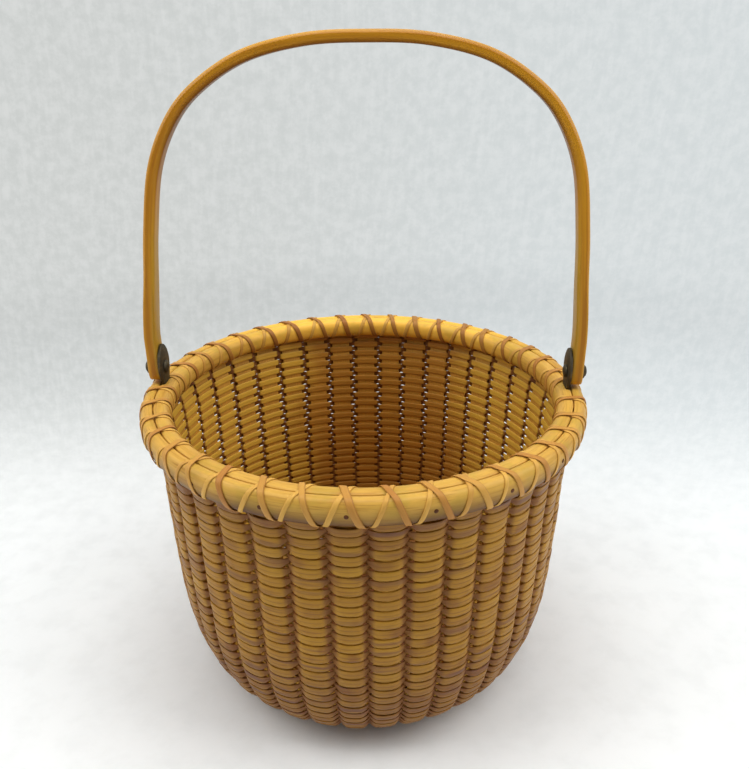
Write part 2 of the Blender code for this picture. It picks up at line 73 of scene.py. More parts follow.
# Middle line of the wall: shares of the way out and of the rise
WALL_LINE_SHARES = (
    (0.000, 0.000), (0.310, 0.006), (0.530, 0.046), (0.707, 0.135),
    (0.838, 0.310), (0.892, 0.587), (0.925, 0.893), (1.000, 1.000),
)
# Middle line of one limb of the handle: shares of the half span and the rise
HANDLE_LINE_SHARES = (
    (0.974, 0.300), (0.950, 0.460), (0.905, 0.640), (0.820, 0.772),
    (0.700, 0.866), (0.500, 0.950), (0.250, 0.992), (0.000, 1.000),
)
# Rounding of the strap's end, tip first: shares of the tip's length and of the width
HANDLE_TIP_SHARES = (
    (1.00, 0.30), (0.96, 0.48), (0.87, 0.68), (0.70, 0.87), (0.48, 0.97), (0.25, 1.00),
)
# Outline of an ear above the hoops: shares of its half width and height; -1 is the shank's foot
EAR_SHARES = (
    (0.585, -1.0), (0.585, 0.0), (0.62, 0.03), (0.80, 0.19), (0.96, 0.36), (1.0, 0.49),
    (0.95, 0.615), (0.80, 0.755), (0.56, 0.87), (0.28, 0.957), (0.0, 1.0),
)
# A hoop's section: crown's share of its thickness, roundness, and how far the seam side is eased
CROWN_SHARE = 0.38
HOOP_ROUNDNESS = 2 / 2.4
SEAM_EASE_SHARE = 0.15
SEAM_ROUNDNESS = 0.9
# Unit sections, counter-clockwise, as (across, out) pairs from -1 to 1
CANE_SECTION = (
    (1.0, -0.30), (1.0, 0.30), (0.93, 0.84), (0.50, 1.0), (-0.50, 1.0), (-0.93, 0.84),
    (-1.0, 0.30), (-1.0, -0.30), (-0.93, -0.84), (-0.50, -1.0), (0.50, -1.0), (0.93, -0.84),
)
STRIP_SECTION = (
    (1.0, -0.2), (0.93, 0.55), (0.55, 1.0), (-0.55, 1.0), (-0.93, 0.55),
    (-1.0, -0.2), (-0.85, -1.0), (0.85, -1.0),
)
STAVE_SECTION = (
    (1.0, -1.0), (1.0, -0.1), (0.86, 0.50), (0.50, 0.87), (0.0, 1.0),
    (-0.50, 0.87), (-0.86, 0.50), (-1.0, -0.1), (-1.0, -1.0),
)

# Fixed sizes of the smaller forms, in metres
GROOVE_DEPTH = 0.007
BASE_EASE = 0.0016              # rounding of the base's two edges
STAVE_TOP_DROP = 0.0018         # the staves end this far below the hoops' tops
# Lengths from the wall's two ends between which a stave moves out to its full shift
SHIFT_BELOW, SHIFT_ABOVE = (0.0, 0.006), (0.001, 0.006)
# Shares of a stave's length where its thickness changes, and the last two thicknesses
STAVE_STATIONS = (0, 0.06, 0.10, 0.88, 0.92, 1)
STAVE_TOP_THICKNESSES = (0.0006, 0.0005)
NOTCH_RADIUS = 0.0917           # middle of the inner hoop's notches for the ears
NOTCH_SIZE = (0.0032, 0.0086)
NOTCH_OVERRUN = 0.002           # how far the notch's cutter passes the hoops' tops
STATIONS_TO_STAVE = 12          # cross-sections of the cane to each stave
STATION_CROWDING = 0.55         # how much closer they stand where the cane bends
ROW_STATIONS = (0.0, 0.022, 0.066)  # lengths up the wall where the rows' pitch changes
ROW_WAVES = (0.00010, 0.00007)  # slow and fine unevenness in the rows' height
REACH_WAVE = 0.05               # unevenness in how far the cane stands out, as a share
END_PLAY = 0.0002               # give of the first and last rows at the wall's ends
DROP_SKEW = 1.1                 # above 1, the rows at the back drop most above half height
SAG_REACH = 0.006               # length up the wall at which the cane dips in full
SAG_ROUNDNESS = 1.3
TUCKED_THICKNESS = 0.4          # share of the cane's thickness that is left under the rim
GRAIN_STEP = 0.0012             # mean length of cane between two cross-sections
# The cane's wave: share of its crest at which it is fully out or in, and between which it widens
FULL_OUT, FULL_IN = 0.85, 0.50
WIDEN_OUT, WIDEN_IN = (0.08, 0.52), (0.06, 0.40)
# Lengths up the wall with the share of the foot's sag, and with the cane's thickness
SAG_STATIONS = ((0.0, 0.006, 0.020, 0.045, 0.090), (0.0, 0.6, 1.0, 0.55, 0.0))
CANE_STATIONS = ((0.0, 0.03, 0.06), (1.4, 1.3, 1.0))
# Lengths below the wall's end with the share of the wave that is left there
TUCK_STATIONS = ((0.0, 0.0034), (0.30, 1.0))
LASHING_STATIONS = 44           # cross-sections of a strip to each wrap
LASHING_GAP = 0.00005           # between a strip and the hoops
LASHING_DROP = 0.0001           # between a strip and the hoops' lower edges
LASHING_JITTER = 0.07           # unevenness of the wraps, in pitches
LASHING_WAVE = 0.10             # unevenness of a strip's width, as a share
CROSSING_OFFSET = 0.0030        # from the top of the outer hoop inward to the crossings
# The upper strip's lift over the lower one, before it is cut off at 1, and the share of a
# wrap in which it falls by 1
LIFT_PEAK, LIFT_SPAN = 1.35, 0.14
UPPER_STRIPS = 50.0             # added to the upper strips' numbers, so their tints differ
TACK_RISE = 0.0053              # the hoop's lower edge to the tacks
TACK_FLATNESS = 0.45
TACK_SINK = 0.0001              # how far a tack's middle lies in the hoop
FIRST_TACK = math.radians(-90.3)
EAR_EASE = 0.00028              # rounding of the ears' edges
RIVET_RADIUS = 0.0015
HEAD_RADIUS, HEAD_HEIGHT = 0.0030, 0.0012
PEEN_RADIUS, PEEN_HEIGHT = 0.0025, 0.0009
WASHER_BORE, WASHER_EASE = 0.0017, 0.0002
HANDLE_STRAIGHT = 0.0150        # the limbs stand plumb this far above the pivot
HANDLE_CROWN_THICKNESS = 0.0046
HANDLE_INSET = 0.00236          # top of the handle's box to the strap's middle at its crown
HANDLE_EASE = 0.00022           # rounding of the strap's corners
EDGE_WEAR = 0.00035             # chamfer that is left where the real ones stop
CHAMFER_START = (0.0250, 0.0480)    # heights above the pivot between which they grow
CHAMFER_STATIONS = (0.0362, 0.0368, 0.0374, 0.0382, 0.0390, 0.0400, 0.0412)


# ---------------------------------------------------------------- sizes and colours

def length(name, description, default):
    """A length that the sidebar shows in the scene's unit."""
    return bpy.props.FloatProperty(
        name=name, description=description, default=default, min=0.0,
        precision=5, subtype="DISTANCE", unit="LENGTH",
    )


def ratio(name, description, default):
    """A plain number, such as one length in terms of another."""
    return bpy.props.FloatProperty(name=name, description=description, default=default, min=0.0)


def colour(name, description, red, green, blue):
    """A colour given as eight-bit display values."""
    linear = [display_to_linear(value) for value in (red, green, blue)]
    return bpy.props.FloatVectorProperty(
        name=name, description=description, default=linear, size=3,
        min=0.0, max=1.0, subtype="COLOR",
    )


def display_to_linear(value):
    """One channel of a display colour, 0 to 255, as a linear value."""
    value /= 255
    return value / 12.92 if value <= 0.04045 else ((value + 0.055) / 1.055) ** 2.4


class BasketSizes(bpy.types.PropertyGroup):
    """Sizes of the basket's fine forms."""
    seam_radius: length("Seam radius", "Middle of the gap between the rim hoops", 0.0926)
    groove_level: length("Groove level", "Floor to the staves' feet", 0.0045)
    clearance: length("Clearance", "Gap between pieces that touch", 0.0003)
    stave_phase: ratio("Stave phase", "Share of a pitch from the X axis to a stave", 0.1)
    stave_thickness: length("Stave thickness", "Thickness of an upright", 0.0024)
    stave_shift: length(
        "Stave shift", "How far an upright's middle stands outside the wall's line", 0.0007)
    stave_foot_thickness: length(
        "Stave foot thickness", "Thickness of an upright in the base", 0.0012)
    stave_foot: length("Stave foot", "Width of an upright at the base", 0.0052)
    stave_top: length("Stave top", "Width of an upright at the rim", 0.0098)
    cane_thickness: length("Cane thickness", "Thickness of the weaving cane", 0.00044)
    cane_out: length("Cane outside", "From the wall's line to the cane's middle, outside", 0.00218)
    cane_in: length("Cane inside", "From the wall's line to the cane's middle, inside", 0.00080)
    row_pitch: length("Row pitch", "Height of one row of weaving", 0.00233)
    foot_pitch: length("Foot row pitch", "Height of one row near the base", 0.0018)
    cane_share: ratio("Cane width", "Width of the cane over an upright, in rows", 1.74)
    inside_share: ratio("Cane width inside", "Width of the cane behind an upright, in rows", 1.38)
    squeeze_share: ratio(
        "Cane at crossings", "Width of the cane between two uprights, in rows", 1.02)
    cane_sag: length("Cane sag", "How far the cane dips over an upright", 0.0009)
    foot_sag: length("Foot sag", "The same near the base, where the uprights draw together", 0.0016)
    back_drop: length("Back drop", "How much lower the middle rows run at the back", 0.0060)
    outer_hoop: length("Outer hoop", "Thickness of the outer hoop", 0.0053)
    inner_hoop: length("Inner hoop", "Thickness of the inner hoop", 0.0069)
    inner_height: ratio(
        "Inner hoop height", "Height of the inner hoop as a share of the outer one's", 0.90)
    seam_width: length("Seam width", "Gap between the two hoops", 0.0005)
    tuck: length("Tuck", "How far the last row of cane is pushed up under the rim", 0.0032)
    lashing_width: length("Lashing width", "Width of the brown strips round the rim", 0.0025)
    under_share: ratio(
        "Golden strips", "Width of the golden strips as a share of the brown ones", 0.74)
    lashing_thickness: length("Lashing thickness", "Thickness of those strips", 0.0004)
    handle_thickness: length("Handle thickness", "Thickness of the handle's strap", 0.0050)
    handle_width: length("Handle width", "Width of the strap at the pivots", 0.0090)
    handle_crown: length("Handle crown", "Width of the strap at its crown", 0.0080)
    handle_chamfer: length("Handle chamfer", "Width of the strap's chamfers", 0.0013)
    handle_lean: length("Handle lean", "How far the crown stands toward +X", 0.0026)
    tack_radius: length("Tack radius", "Radius of the hoop's tack heads", 0.0009)
    tack_count: bpy.props.IntProperty(
        name="Tacks", description="Tacks round the outer hoop", default=20, min=1)


class BasketColours(bpy.types.PropertyGroup):
    """Colours of the basket's finishes and its stage."""
    cane_light: colour("Light cane", "Golden face of the weaving cane", 190, 141, 34)
    cane_deep: colour("Deep cane", "Darker lengths of cane", 152, 98, 26)
    # Red cane also serves as painted shade under the rim, low inside, along the edges of cane and
    # strips, and on the strips at the back
    cane_red: colour("Red cane", "Reddish-brown where cane bends and ages", 110, 58, 24)
    # Painted shade in the bends between the uprights
    cane_bend_shade: colour("Bent cane", "Cane between two uprights", 128, 80, 42)
    # Painted shade inside, toward the back
    cane_back_shade: colour("Russet cane", "Redder cane inside, toward the back", 158, 84, 34)
    cane_dusk: colour("Dusky cane", "Purplish brown of the duskiest lengths", 122, 80, 54)
    # Painted light on the inner walls
    cane_inside_light: colour("Inner cane", "Paler face of the cane inside", 236, 190, 74)
    tack: colour("Tacks", "Rusty nail heads", 66, 42, 20)
    hoop_light: colour("Light hoop", "Golden face of the hoops", 216, 168, 74)
    hoop_deep: colour("Deep hoop", "Grain of the hoops", 178, 124, 44)
    hoop_olive: colour("Olive hoop wood", "Greener patches of the hoops", 186, 154, 58)
    # Painted light on the hoops at the back
    hoop_back_light: colour("Fresh hoop wood", "Less faded hoops at the back", 255, 198, 76)
    # Painted shade and darker patina along the outer hoop's lower edge
    hoop_low_shade_and_patina: colour("Brown hoop wood", "Lower edge of the outer hoop", 92, 52, 14)
    lashing_light: colour("Light lashing", "Golden strips of lashing", 220, 170, 78)
    lashing_deep: colour("Deep lashing", "Brown strips of lashing", 180, 120, 52)
    handle_light: colour("Light handle", "Golden facets of the handle", 206, 144, 22)
    handle_deep: colour("Deep handle", "Amber grain of the handle", 168, 104, 12)
    handle_under: colour("Handle underside", "Shaded inner edge of the bow", 104, 64, 34)
    stave_light: colour("Light stave", "Face of an upright", 222, 168, 70)
    stave_deep: colour("Deep stave", "Grain of an upright", 176, 120, 48)
    base_light: colour("Light base", "Turned wood of the base", 160, 104, 46)
    base_deep: colour("Deep base", "Rings of the base", 108, 62, 26)
    brass_dark: colour("Dark brass", "Patina on the brass", 66, 58, 42)
    brass_worn: colour("Worn brass", "Brass where it is rubbed", 128, 108, 66)
    floor_near: colour("Near floor", "Floor round the basket", 252, 254, 253)
    backdrop: colour("Backdrop", "Floor and room behind the basket", 204, 207, 205)
    backdrop_cool: colour("Cool backdrop", "The same toward +X", 212, 218, 219)


# ---------------------------------------------------------------- materials

class Value:
    """A socket that carries numbers; sums with it add Math nodes."""

    def __init__(self, finish, socket):
        self.finish = finish
        self.socket = socket

    def __add__(self, other):
        return self.finish.maths("ADD", self, other)

    def __radd__(self, other):
        return self.finish.maths("ADD", other, self)

    def __sub__(self, other):
        return self.finish.maths("SUBTRACT", self, other)

    def __rsub__(self, other):
        return self.finish.maths("SUBTRACT", other, self)

    def __mul__(self, other):
        return self.finish.maths("MULTIPLY", self, other)

    def __rmul__(self, other):
        return self.finish.maths("MULTIPLY", other, self)

    def __truediv__(self, other):
        return self.finish.maths("DIVIDE", self, other)

    def __rtruediv__(self, other):
        return self.finish.maths("DIVIDE", other, self)

    def __abs__(self):
        return self.finish.maths("ABSOLUTE", self)

    def floor(self):
        """The whole value below."""
        return self.finish.maths("FLOOR", self)

    def root(self):
        """The square root."""
        return self.finish.maths("SQRT", self)

    def clamped(self):
        """The same value, held between 0 and 1."""
        settings = {"operation": "ADD", "use_clamp": True}
        return self.finish.node("ShaderNodeMath", settings, {0: self, 1: 0.0})

    def between(self, low, high):
        """0 below low, 1 above high, smooth between them."""
        return self.finish.node(
            "ShaderNodeMapRange", {"interpolation_type": "SMOOTHSTEP", "clamp": True},
            {0: self, 1: low, 2: high, 3: 0.0, 4: 1.0},
        )


class NodeTree:
    """A shader's node tree and the ways to add nodes to it."""

    def __init__(self, tree):
        self.tree = tree

    def feed(self, socket, value):
        """Link a value to a socket, or set the socket to a plain one."""
        if isinstance(value, Value):
            self.tree.links.new(value.socket, socket)
        elif hasattr(value, "__len__") and len(value) == 3 and len(socket.default_value) == 4:
            socket.default_value = (*value, 1.0)
        else:
            socket.default_value = value

    def node(self, kind, settings=None, sockets=None, output=0):
        """A node of any kind: its settings come first, then its sockets."""
        made = self.tree.nodes.new(kind)
        for name, value in (settings or {}).items():
            setattr(made, name, value)
        for name, value in (sockets or {}).items():
            self.feed(made.inputs[name], value)
        return Value(self, made.outputs[output])

    def maths(self, operation, *terms):
        """A Math node over values and plain numbers."""
        return self.node("ShaderNodeMath", {"operation": operation}, dict(enumerate(terms)))

    def blend(self, first, second, factor):
        """Two colours, mixed by a factor."""
        return self.node(
            "ShaderNodeMix", {"data_type": "RGBA"}, {0: factor, 6: first, 7: second}, 2)

    def attribute(self, name):
        """The number that the mesh carries under this name."""
        return self.node("ShaderNodeAttribute", {"attribute_name": name}, output=2)

    def object_point(self):
        """Object coordinates as a vector and as three values."""
        point = self.node("ShaderNodeTexCoord", output=3)
        return point, *self.parts(point)

    def surface_point(self):
        """The piece's own UV map: metres along and metres across."""
        return self.parts(self.node("ShaderNodeUVMap", {"uv_map": "strand"}))[:2]

    def parts(self, vector):
        """The three values of a vector."""
        split = self.node("ShaderNodeSeparateXYZ", sockets={0: vector}).socket.node
        return [Value(self, split.outputs[place]) for place in range(3)]

    def vector(self, x, y, z):
        """A vector from three values."""
        return self.node("ShaderNodeCombineXYZ", sockets={0: x, 1: y, 2: z})

    def noise(self, vector, scale, detail=2.0, roughness=0.5, w=None):
        """Soft noise over a vector, and over w too where it is given."""
        settings = {"noise_dimensions": "4D" if w is not None else "3D"}
        sockets = {"Vector": vector, "Scale": scale, "Detail": detail, "Roughness": roughness}
        if w is not None:
            sockets["W"] = w
        return self.node("ShaderNodeTexNoise", settings, sockets)

    def streaks(self, x, y, z, detail=2.0, roughness=0.5, w=None):
        """The same noise over three values, each already scaled."""
        return self.noise(self.vector(x, y, z), 1.0, detail, roughness, w)

    def chance(self, value):
        """A steady random number for each whole value."""
        return self.node("ShaderNodeTexWhiteNoise", {"noise_dimensions": "1D"}, {"W": value})


class Finish(NodeTree):
    """A Principled material and the nodes that feed it."""

    def __init__(self, name, roughness=0.5, metallic=0.0, coat=0.0, specular=0.5):
        self.material = bpy.data.materials.new(name)
        self.material.use_nodes = True
        super().__init__(self.material.node_tree)
        self.shader = self.tree.nodes["Principled BSDF"]
        self.shader.inputs["Roughness"].default_value = roughness
        self.shader.inputs["Metallic"].default_value = metallic
        self.shader.inputs["Coat Weight"].default_value = coat
        self.shader.inputs["Specular IOR Level"].default_value = specular

    def paint(self, base, roughness=None, height=None, depth=0.0002, strength=0.5, metallic=None):
        """Feed the shader, with height as a bump of the given depth."""
        fed = {"Base Color": base, "Roughness": roughness, "Metallic": metallic}
        if height is not None:
            relief = {"Strength": strength, "Distance": depth, "Height": height}
            fed["Normal"] = self.node("ShaderNodeBump", sockets=relief)
        for name, value in fed.items():
            if value is not None:
                self.feed(self.shader.inputs[name], value)
        return self.material


def cane_finish(colours):
    """Aged weaving cane: long streaks, darker lengths, red-brown painted shade in the bends."""
    finish = Finish("aged_cane", roughness=0.45, specular=0.22)
    along, across = finish.surface_point()
    turn = finish.attribute("turn")
    crest = finish.attribute("crest")
    point, x, y, z = finish.object_point()
    streaks = finish.streaks(along * 26.0, across * 2600.0, turn, 3.0, 0.6)
    lengths = finish.chance((turn * 0.71).floor())
    slow = finish.streaks(along * 9.0, turn * 2.3, 4.0, 2.0)
    mottle = finish.streaks(along * 52.0, turn * 1.7, 9.0, 2.0, 0.6)
    patches = finish.noise(point, 30.0, 3.0, 0.55)
    deep = (slow * 0.5 + mottle * 1.1 + lengths * 0.25 + streaks * 0.45 - 0.68).clamped()
    tint = finish.blend(colours.cane_light, colours.cane_deep, deep)
    # Low on the wall the cane is browner in uneven bands; just under the rim it is painted darker
    # too, as painted shade from the rim
    low = 1.0 - (z + (patches - 0.5) * 0.05).between(0.030, 0.066)
    low = low + z.between(WALL_TOP - 0.012, WALL_TOP - 0.002) * 0.8
    aged_and_rim_shade = (
        low * 0.56 + patches.between(0.50, 0.68) * 0.34 + mottle.between(0.56, 0.68) * 0.55
    ).clamped()
    tint = finish.blend(tint, colours.cane_red, aged_and_rim_shade * 0.66)
    # Some lengths are dusky, a few rows at a time
    dusky = finish.streaks(along * 13.0, z * 230.0, 7.0, 2.0, 0.6).between(0.54, 0.66)
    tint = finish.blend(
        tint, colours.cane_dusk, (dusky * (0.60 + low * 0.4) + low * 0.12).clamped())
    # In the bends between the staves the cane is painted redder and darker, as painted shade in the
    # dips between the columns
    inside = 1.0 - crest.between(-0.36, -0.10)
    bend = (1.0 - abs(crest).between(0.24, 0.62)) * (1.0 - inside * 0.7)
    tint = finish.blend(tint, colours.cane_bend_shade, bend * 0.80)
    # Inside, the cane is painted paler, as painted light on the inner walls; toward the back and
    # low down it is painted redder, as painted shade
    centre = y.between(0.0, 0.06) * (
        1.0 - abs(x - 0.006 + (patches - 0.5) * 0.03).between(0.034, 0.056))
    tint = finish.blend(tint, colours.cane_inside_light, inside * 0.85)
    floor_shade = 1.0 - z.between(0.012, 0.042)
    tint = finish.blend(tint, colours.cane_back_shade, inside * centre * 0.62)
    tint = finish.blend(
        tint, colours.cane_red, inside * (streaks * 0.10 + floor_shade * 0.6).clamped())
    # The cane's two edges are painted darker, as painted shade where the rows meet, and a fine
    # ridge along its middle is darker than its face
    side = abs(finish.attribute("across"))
    ridge = (mottle + streaks).between(0.75, 1.15) * 0.5 + crest.between(0.4, 0.8) * 0.5
    ridge = (1.0 - side.between(0.02, 0.18)) * ridge
    tint = finish.blend(tint, colours.cane_red, side.between(0.84, 1.0) * 0.15 + ridge * 0.60)
    return finish.paint(
        base=tint, roughness=0.36 + streaks * 0.16 + bend * 0.12,
        height=streaks * 0.6 + slow * 0.4 - ridge * 0.5, depth=0.00012, strength=0.55,
    )


def lashing_finish(colours, share):
    """Split strips: golden, with some brown; share is how brown they are."""
    finish = Finish("lashing_strip_%d" % round(share * 100), roughness=0.45, specular=0.25)
    along, across = finish.surface_point()
    wrap = finish.attribute("turn")
    streaks = finish.streaks(along * 30.0, across * 2600.0, wrap, 3.0, 0.6)
    lengths = finish.chance((wrap + 0.02).floor())
    slow = finish.streaks(along * 45.0, wrap * 0.7, 2.0, 2.0)
    y = finish.object_point()[2]
    deep = (share + (lengths - 0.5) * 0.55 + (slow - 0.5) * 0.9 + (streaks - 0.5) * 0.35).clamped()
    tint = finish.blend(colours.lashing_light, colours.lashing_deep, deep)
    # Painted shade: the strips are darker toward the back, the browner ones most
    tint = finish.blend(tint, colours.cane_red, y.between(0.0, 0.08) * share * 0.55)
    # Painted shade along one edge of each strip, most on the browner ones
    edge = finish.attribute("across").between(0.62, 1.0)
    tint = finish.blend(tint, colours.cane_red, edge * share * 0.6)
    return finish.paint(
        base=tint, roughness=0.38 + streaks * 0.18, height=streaks, depth=0.0001, strength=0.5,
    )


def turned_grain(finish, x, y, z, fine, reach):
    """Distance from the Z axis, and streaks that run round it without a seam."""
    radius = (x * x + y * y).root()
    return radius, finish.streaks(
        x / radius * reach, y / radius * reach, radius * fine, 3.0, 0.6, w=z * fine)


def hoop_finish(colours):
    """Bent hoop wood with fine grain along the hoop."""
    finish = Finish("bent_hoop_wood", roughness=0.40, specular=0.25)
    point, x, y, z = finish.object_point()
    radius, grain = turned_grain(finish, x, y, z, 1500.0, 7.0)
    coarse = turned_grain(finish, x, y, z, 420.0, 4.0)[1]
    patches = finish.noise(point, 24.0, 3.0)
    fibres = grain.between(0.52, 0.70)
    deep = (coarse.between(0.40, 0.72) * 0.55 + fibres * 0.45 + (patches - 0.45) * 0.5).clamped()
    tint = finish.blend(colours.hoop_light, colours.hoop_deep, deep)
    worn = patches.between(0.56, 0.74)
    tint = finish.blend(tint, colours.cane_red, worn * 0.18 + fibres * 0.12)
    # Painted light: the hoops are lighter toward the back
    tint = finish.blend(tint, colours.hoop_back_light, y.between(0.03, 0.080) * 0.85)
    olive = finish.noise(point, 60.0, 3.0, 0.6).between(0.50, 0.64)
    tint = finish.blend(tint, colours.hoop_olive, olive * 0.45)
    # The outer hoop is browner toward its lower edge: painted shade where its face turns down, and
    # darker patina there
    low = 1.0 - (z + (patches - 0.5) * 0.006).between(RIM_BOTTOM, RIM_BOTTOM + 0.0085)
    tint = finish.blend(tint, colours.hoop_low_shade_and_patina, low * (radius - 0.09).between(0.0, 0.004))
    return finish.paint(
        base=tint, roughness=0.34 + grain * 0.18,
        height=grain * 0.7 + coarse * 0.3, depth=0.00015, strength=0.5,
    )


def handle_finish(colours):
    """Varnished bent wood with its grain along the strap."""
    finish = Finish("varnished_handle", roughness=0.38, coat=0.05, specular=0.20)
    finish.shader.inputs["Coat Roughness"].default_value = 0.20
    along, across = finish.surface_point()
    z = finish.object_point()[3]
    depth = finish.attribute("depth")
    grain = finish.streaks(along * 9.0, across * 420.0, depth * 420.0, 2.0, 0.6)
    pores = finish.streaks(along * 50.0, across * 1100.0, depth * 900.0, 1.0, 0.5)
    slow = finish.streaks(along * 7.0, 1.0, 5.0, 2.0)
    deep = grain.between(0.36, 0.66) * 0.7 + (slow - 0.45) * 0.8 + pores.between(0.58, 0.70) * 0.2
    tint = finish.blend(colours.handle_light, colours.handle_deep, deep.clamped())
    # Painted light: the outer edge and its chamfers are lighter, and the inner side of the limbs is
    # olive
    lit_edge = depth.between(0.0013, 0.0024)
    tint = finish.blend(tint, colours.hoop_light, lit_edge * 0.55)
    inner = 1.0 - depth.between(-0.0022, -0.0006)
    tint = finish.blend(tint, colours.hoop_olive, inner * (1.0 - z.between(0.19, 0.23)) * 0.6)
    # Painted shade: the inner edge of the bow is darker
    under = inner * z.between(0.205, 0.262)
    tint = finish.blend(tint, colours.handle_under, under * 0.80)
    return finish.paint(
        base=tint, roughness=0.32 + pores * 0.12,
        height=pores * 0.5 + grain * 0.5, depth=0.00008, strength=0.30,
    )


def stave_finish(colours):
    """Plain split wood with straight grain."""
    finish = Finish("split_stave_wood", roughness=0.55, specular=0.22)
    along, across = finish.surface_point()
    stave = finish.attribute("turn")
    grain = finish.streaks(along * 14.0, across * 1500.0, stave * 3.7, 3.0, 0.6)
    shift = finish.chance(stave)
    deep = (grain * 0.9 + shift * 0.35 - 0.25).clamped()
    tint = finish.blend(colours.stave_light, colours.stave_deep, deep)
    z = finish.object_point()[3]
    tint = finish.blend(tint, colours.cane_red, 0.55 - z.between(0.015, 0.065) * 0.55)
    return finish.paint(
        base=tint, roughness=0.48 + grain * 0.2, height=grain, depth=0.0001, strength=0.5)


def base_finish(colours):
    """Turned wood: straight grain crossed by faint lathe rings."""
    finish = Finish("turned_base_wood", roughness=0.45, specular=0.25)
    point, x, y, z = finish.object_point()
    radius = (x * x + y * y).root()
    grain = finish.streaks(x * 22.0, y * 420.0, z * 260.0, 4.0, 0.6)
    rings = finish.streaks(radius * 900.0, 3.0, z * 200.0, 2.0, 0.5)
    patches = finish.noise(point, 30.0, 2.0)
    top = z.between(0.0094, 0.0108) * 0.8
    deep = (
        grain.between(0.38, 0.68) * 0.75 + (patches - 0.45) * 0.6 + rings * 0.12 + top
    ).clamped()
    tint = finish.blend(colours.base_light, colours.base_deep, deep)
    return finish.paint(
        base=tint, roughness=0.38 + grain * 0.2,
        height=grain * 0.5 + rings * 0.5, depth=0.00012, strength=0.5,
    )


def tack_finish(colours):
    """Dull nail heads gone brown."""
    finish = Finish("dull_tack", roughness=0.6, specular=0.2)
    rust = finish.noise(finish.object_point()[0], 900.0, 2.0)
    return finish.paint(base=finish.blend(colours.tack, colours.cane_red, rust))


def brass_finish(name, colours, worn_share):
    """Old brass under a dark patina that is rubbed away in places."""
    finish = Finish(name, roughness=0.48, metallic=0.75)
    point = finish.object_point()[0]
    clouds = finish.noise(point, 420.0, 4.0, 0.6)
    specks = finish.noise(point, 2600.0, 2.0, 0.5)
    worn = (clouds.between(0.50, 0.66) * worn_share + specks.between(0.58, 0.72) * 0.12).clamped()
    tint = finish.blend(colours.brass_dark, colours.brass_worn, worn)
    return finish.paint(
        base=tint, roughness=0.56 - worn * 0.2, metallic=0.55 + worn * 0.3,
        height=clouds * 0.6 + specks * 0.4, depth=0.00015, strength=0.5,
    )


# ---------------------------------------------------------------- shapes

def smooth_points(points, steps):
    """A Catmull-Rom line through the points, with steps to each span."""
    points = np.asarray(points, float)
    ends = np.vstack([2 * points[0] - points[1], points, 2 * points[-1] - points[-2]])
    line = []
    for before, first, second, after in zip(ends, ends[1:], ends[2:], ends[3:]):
        for t in np.arange(steps) / steps:
            line.append(0.5 * (
                2 * first + (second - before) * t
                + (2 * before - 5 * first + 4 * second - after) * t ** 2
                + (3 * first - before - 3 * second + after) * t ** 3
            ))
    line.append(points[-1])
    return np.array(line)


def smooth_step(values, low, high):
    """0 below low, 1 above high, smooth between them."""
    share = np.clip((values - low) / (high - low), 0, 1)
    return share * share * (3 - 2 * share)


def run_lengths(line):
    """Length along a line at each of its points."""
    return np.concatenate([[0.0], np.cumsum(np.linalg.norm(np.diff(line, axis=0), axis=1))])


class WallLine:
    """The wall's middle line as functions of the length from the base."""

    def __init__(self, sizes):
        foot = BASE_HIGH.x + sizes.clearance
        reach = sizes.seam_radius - foot
        rise = WALL_TOP + sizes.tuck - sizes.groove_level
        points = [
            (foot + reach * out, sizes.groove_level + rise * up) for out, up in WALL_LINE_SHARES]
        self.line = smooth_points(points, 24)
        self.along = run_lengths(self.line)
        self.length = self.along[-1]
        ways = np.gradient(self.line, self.along, axis=0)
        kernel = np.ones(15) / 15
        padded = np.vstack([np.repeat(ways[:1], 7, 0), ways, np.repeat(ways[-1:], 7, 0)])
        ways = np.stack([np.convolve(padded[:, k], kernel, "valid") for k in (0, 1)], 1)
        self.ways = ways / np.linalg.norm(ways, axis=1)[:, None]

    def at(self, along):
        """Radius, height and the unit way up the wall at each length."""
        place = [np.interp(along, self.along, self.line[:, k]) for k in (0, 1)]
        way = [np.interp(along, self.along, self.ways[:, k]) for k in (0, 1)]
        return (*place, *way)


def stave_angle(sizes, index):
    """Angle about Z of a stave, which may be a fraction between two."""
    return (index + sizes.stave_phase) * FULL_TURN / len(STAVES)


def wander(turn_angle, height_share):
    """How far the columns stray sideways, in radians, so that they are never quite even."""
    slow = 0.0150 * np.cos(3 * (turn_angle + 1.37))
    fine = 0.0040 * np.sin(7 * turn_angle + 2.2 * height_share + 0.6)
    finer = 0.0028 * np.sin(17 * turn_angle - 3.1 * height_share)
    return slow + (fine + finer) * np.sin(math.pi * np.clip(height_share, 0, 1)) ** 0.5


def unit(vectors):
    """Each vector at a length of one."""
    return vectors / np.linalg.norm(vectors, axis=1)[:, None]


def swept_part(centres, across, out, section, widths, thicknesses, **values):
    """A section swept along the centres, with caps, and its metres as a UV map.

    The section is one set of corners, or a set for each centre.
    """
    section = np.asarray(section, float)
    section = np.broadcast_to(section, (len(centres), *section.shape[-2:]))
    count, sides = section.shape[:2]
    side = section[:, :, :1] * widths[:, None, None] / 2
    rise = section[:, :, 1:] * thicknesses[:, None, None] / 2
    spots = (centres[:, None] + across[:, None] * side + out[:, None] * rise).reshape(-1, 3)
    ring = np.arange(count - 1)[:, None] * sides
    corner = np.arange(sides)[None]
    after = (corner + 1) % sides
    quads = np.stack([ring + corner, ring + after, ring + sides + after, ring + sides + corner], 2)
    carried = {
        key: np.repeat(np.broadcast_to(value, count), sides) for key, value in values.items()}
    return {
        "spots": spots, "quads": quads.reshape(-1, 4),
        "caps": [list(range(sides))[::-1], [(count - 1) * sides + k for k in range(sides)]],
        "uv": np.stack([np.repeat(run_lengths(centres), sides), side.ravel()], 1),
        "values": {**carried, "across": section[:, :, 0].ravel(), "depth": rise.ravel()},
    }


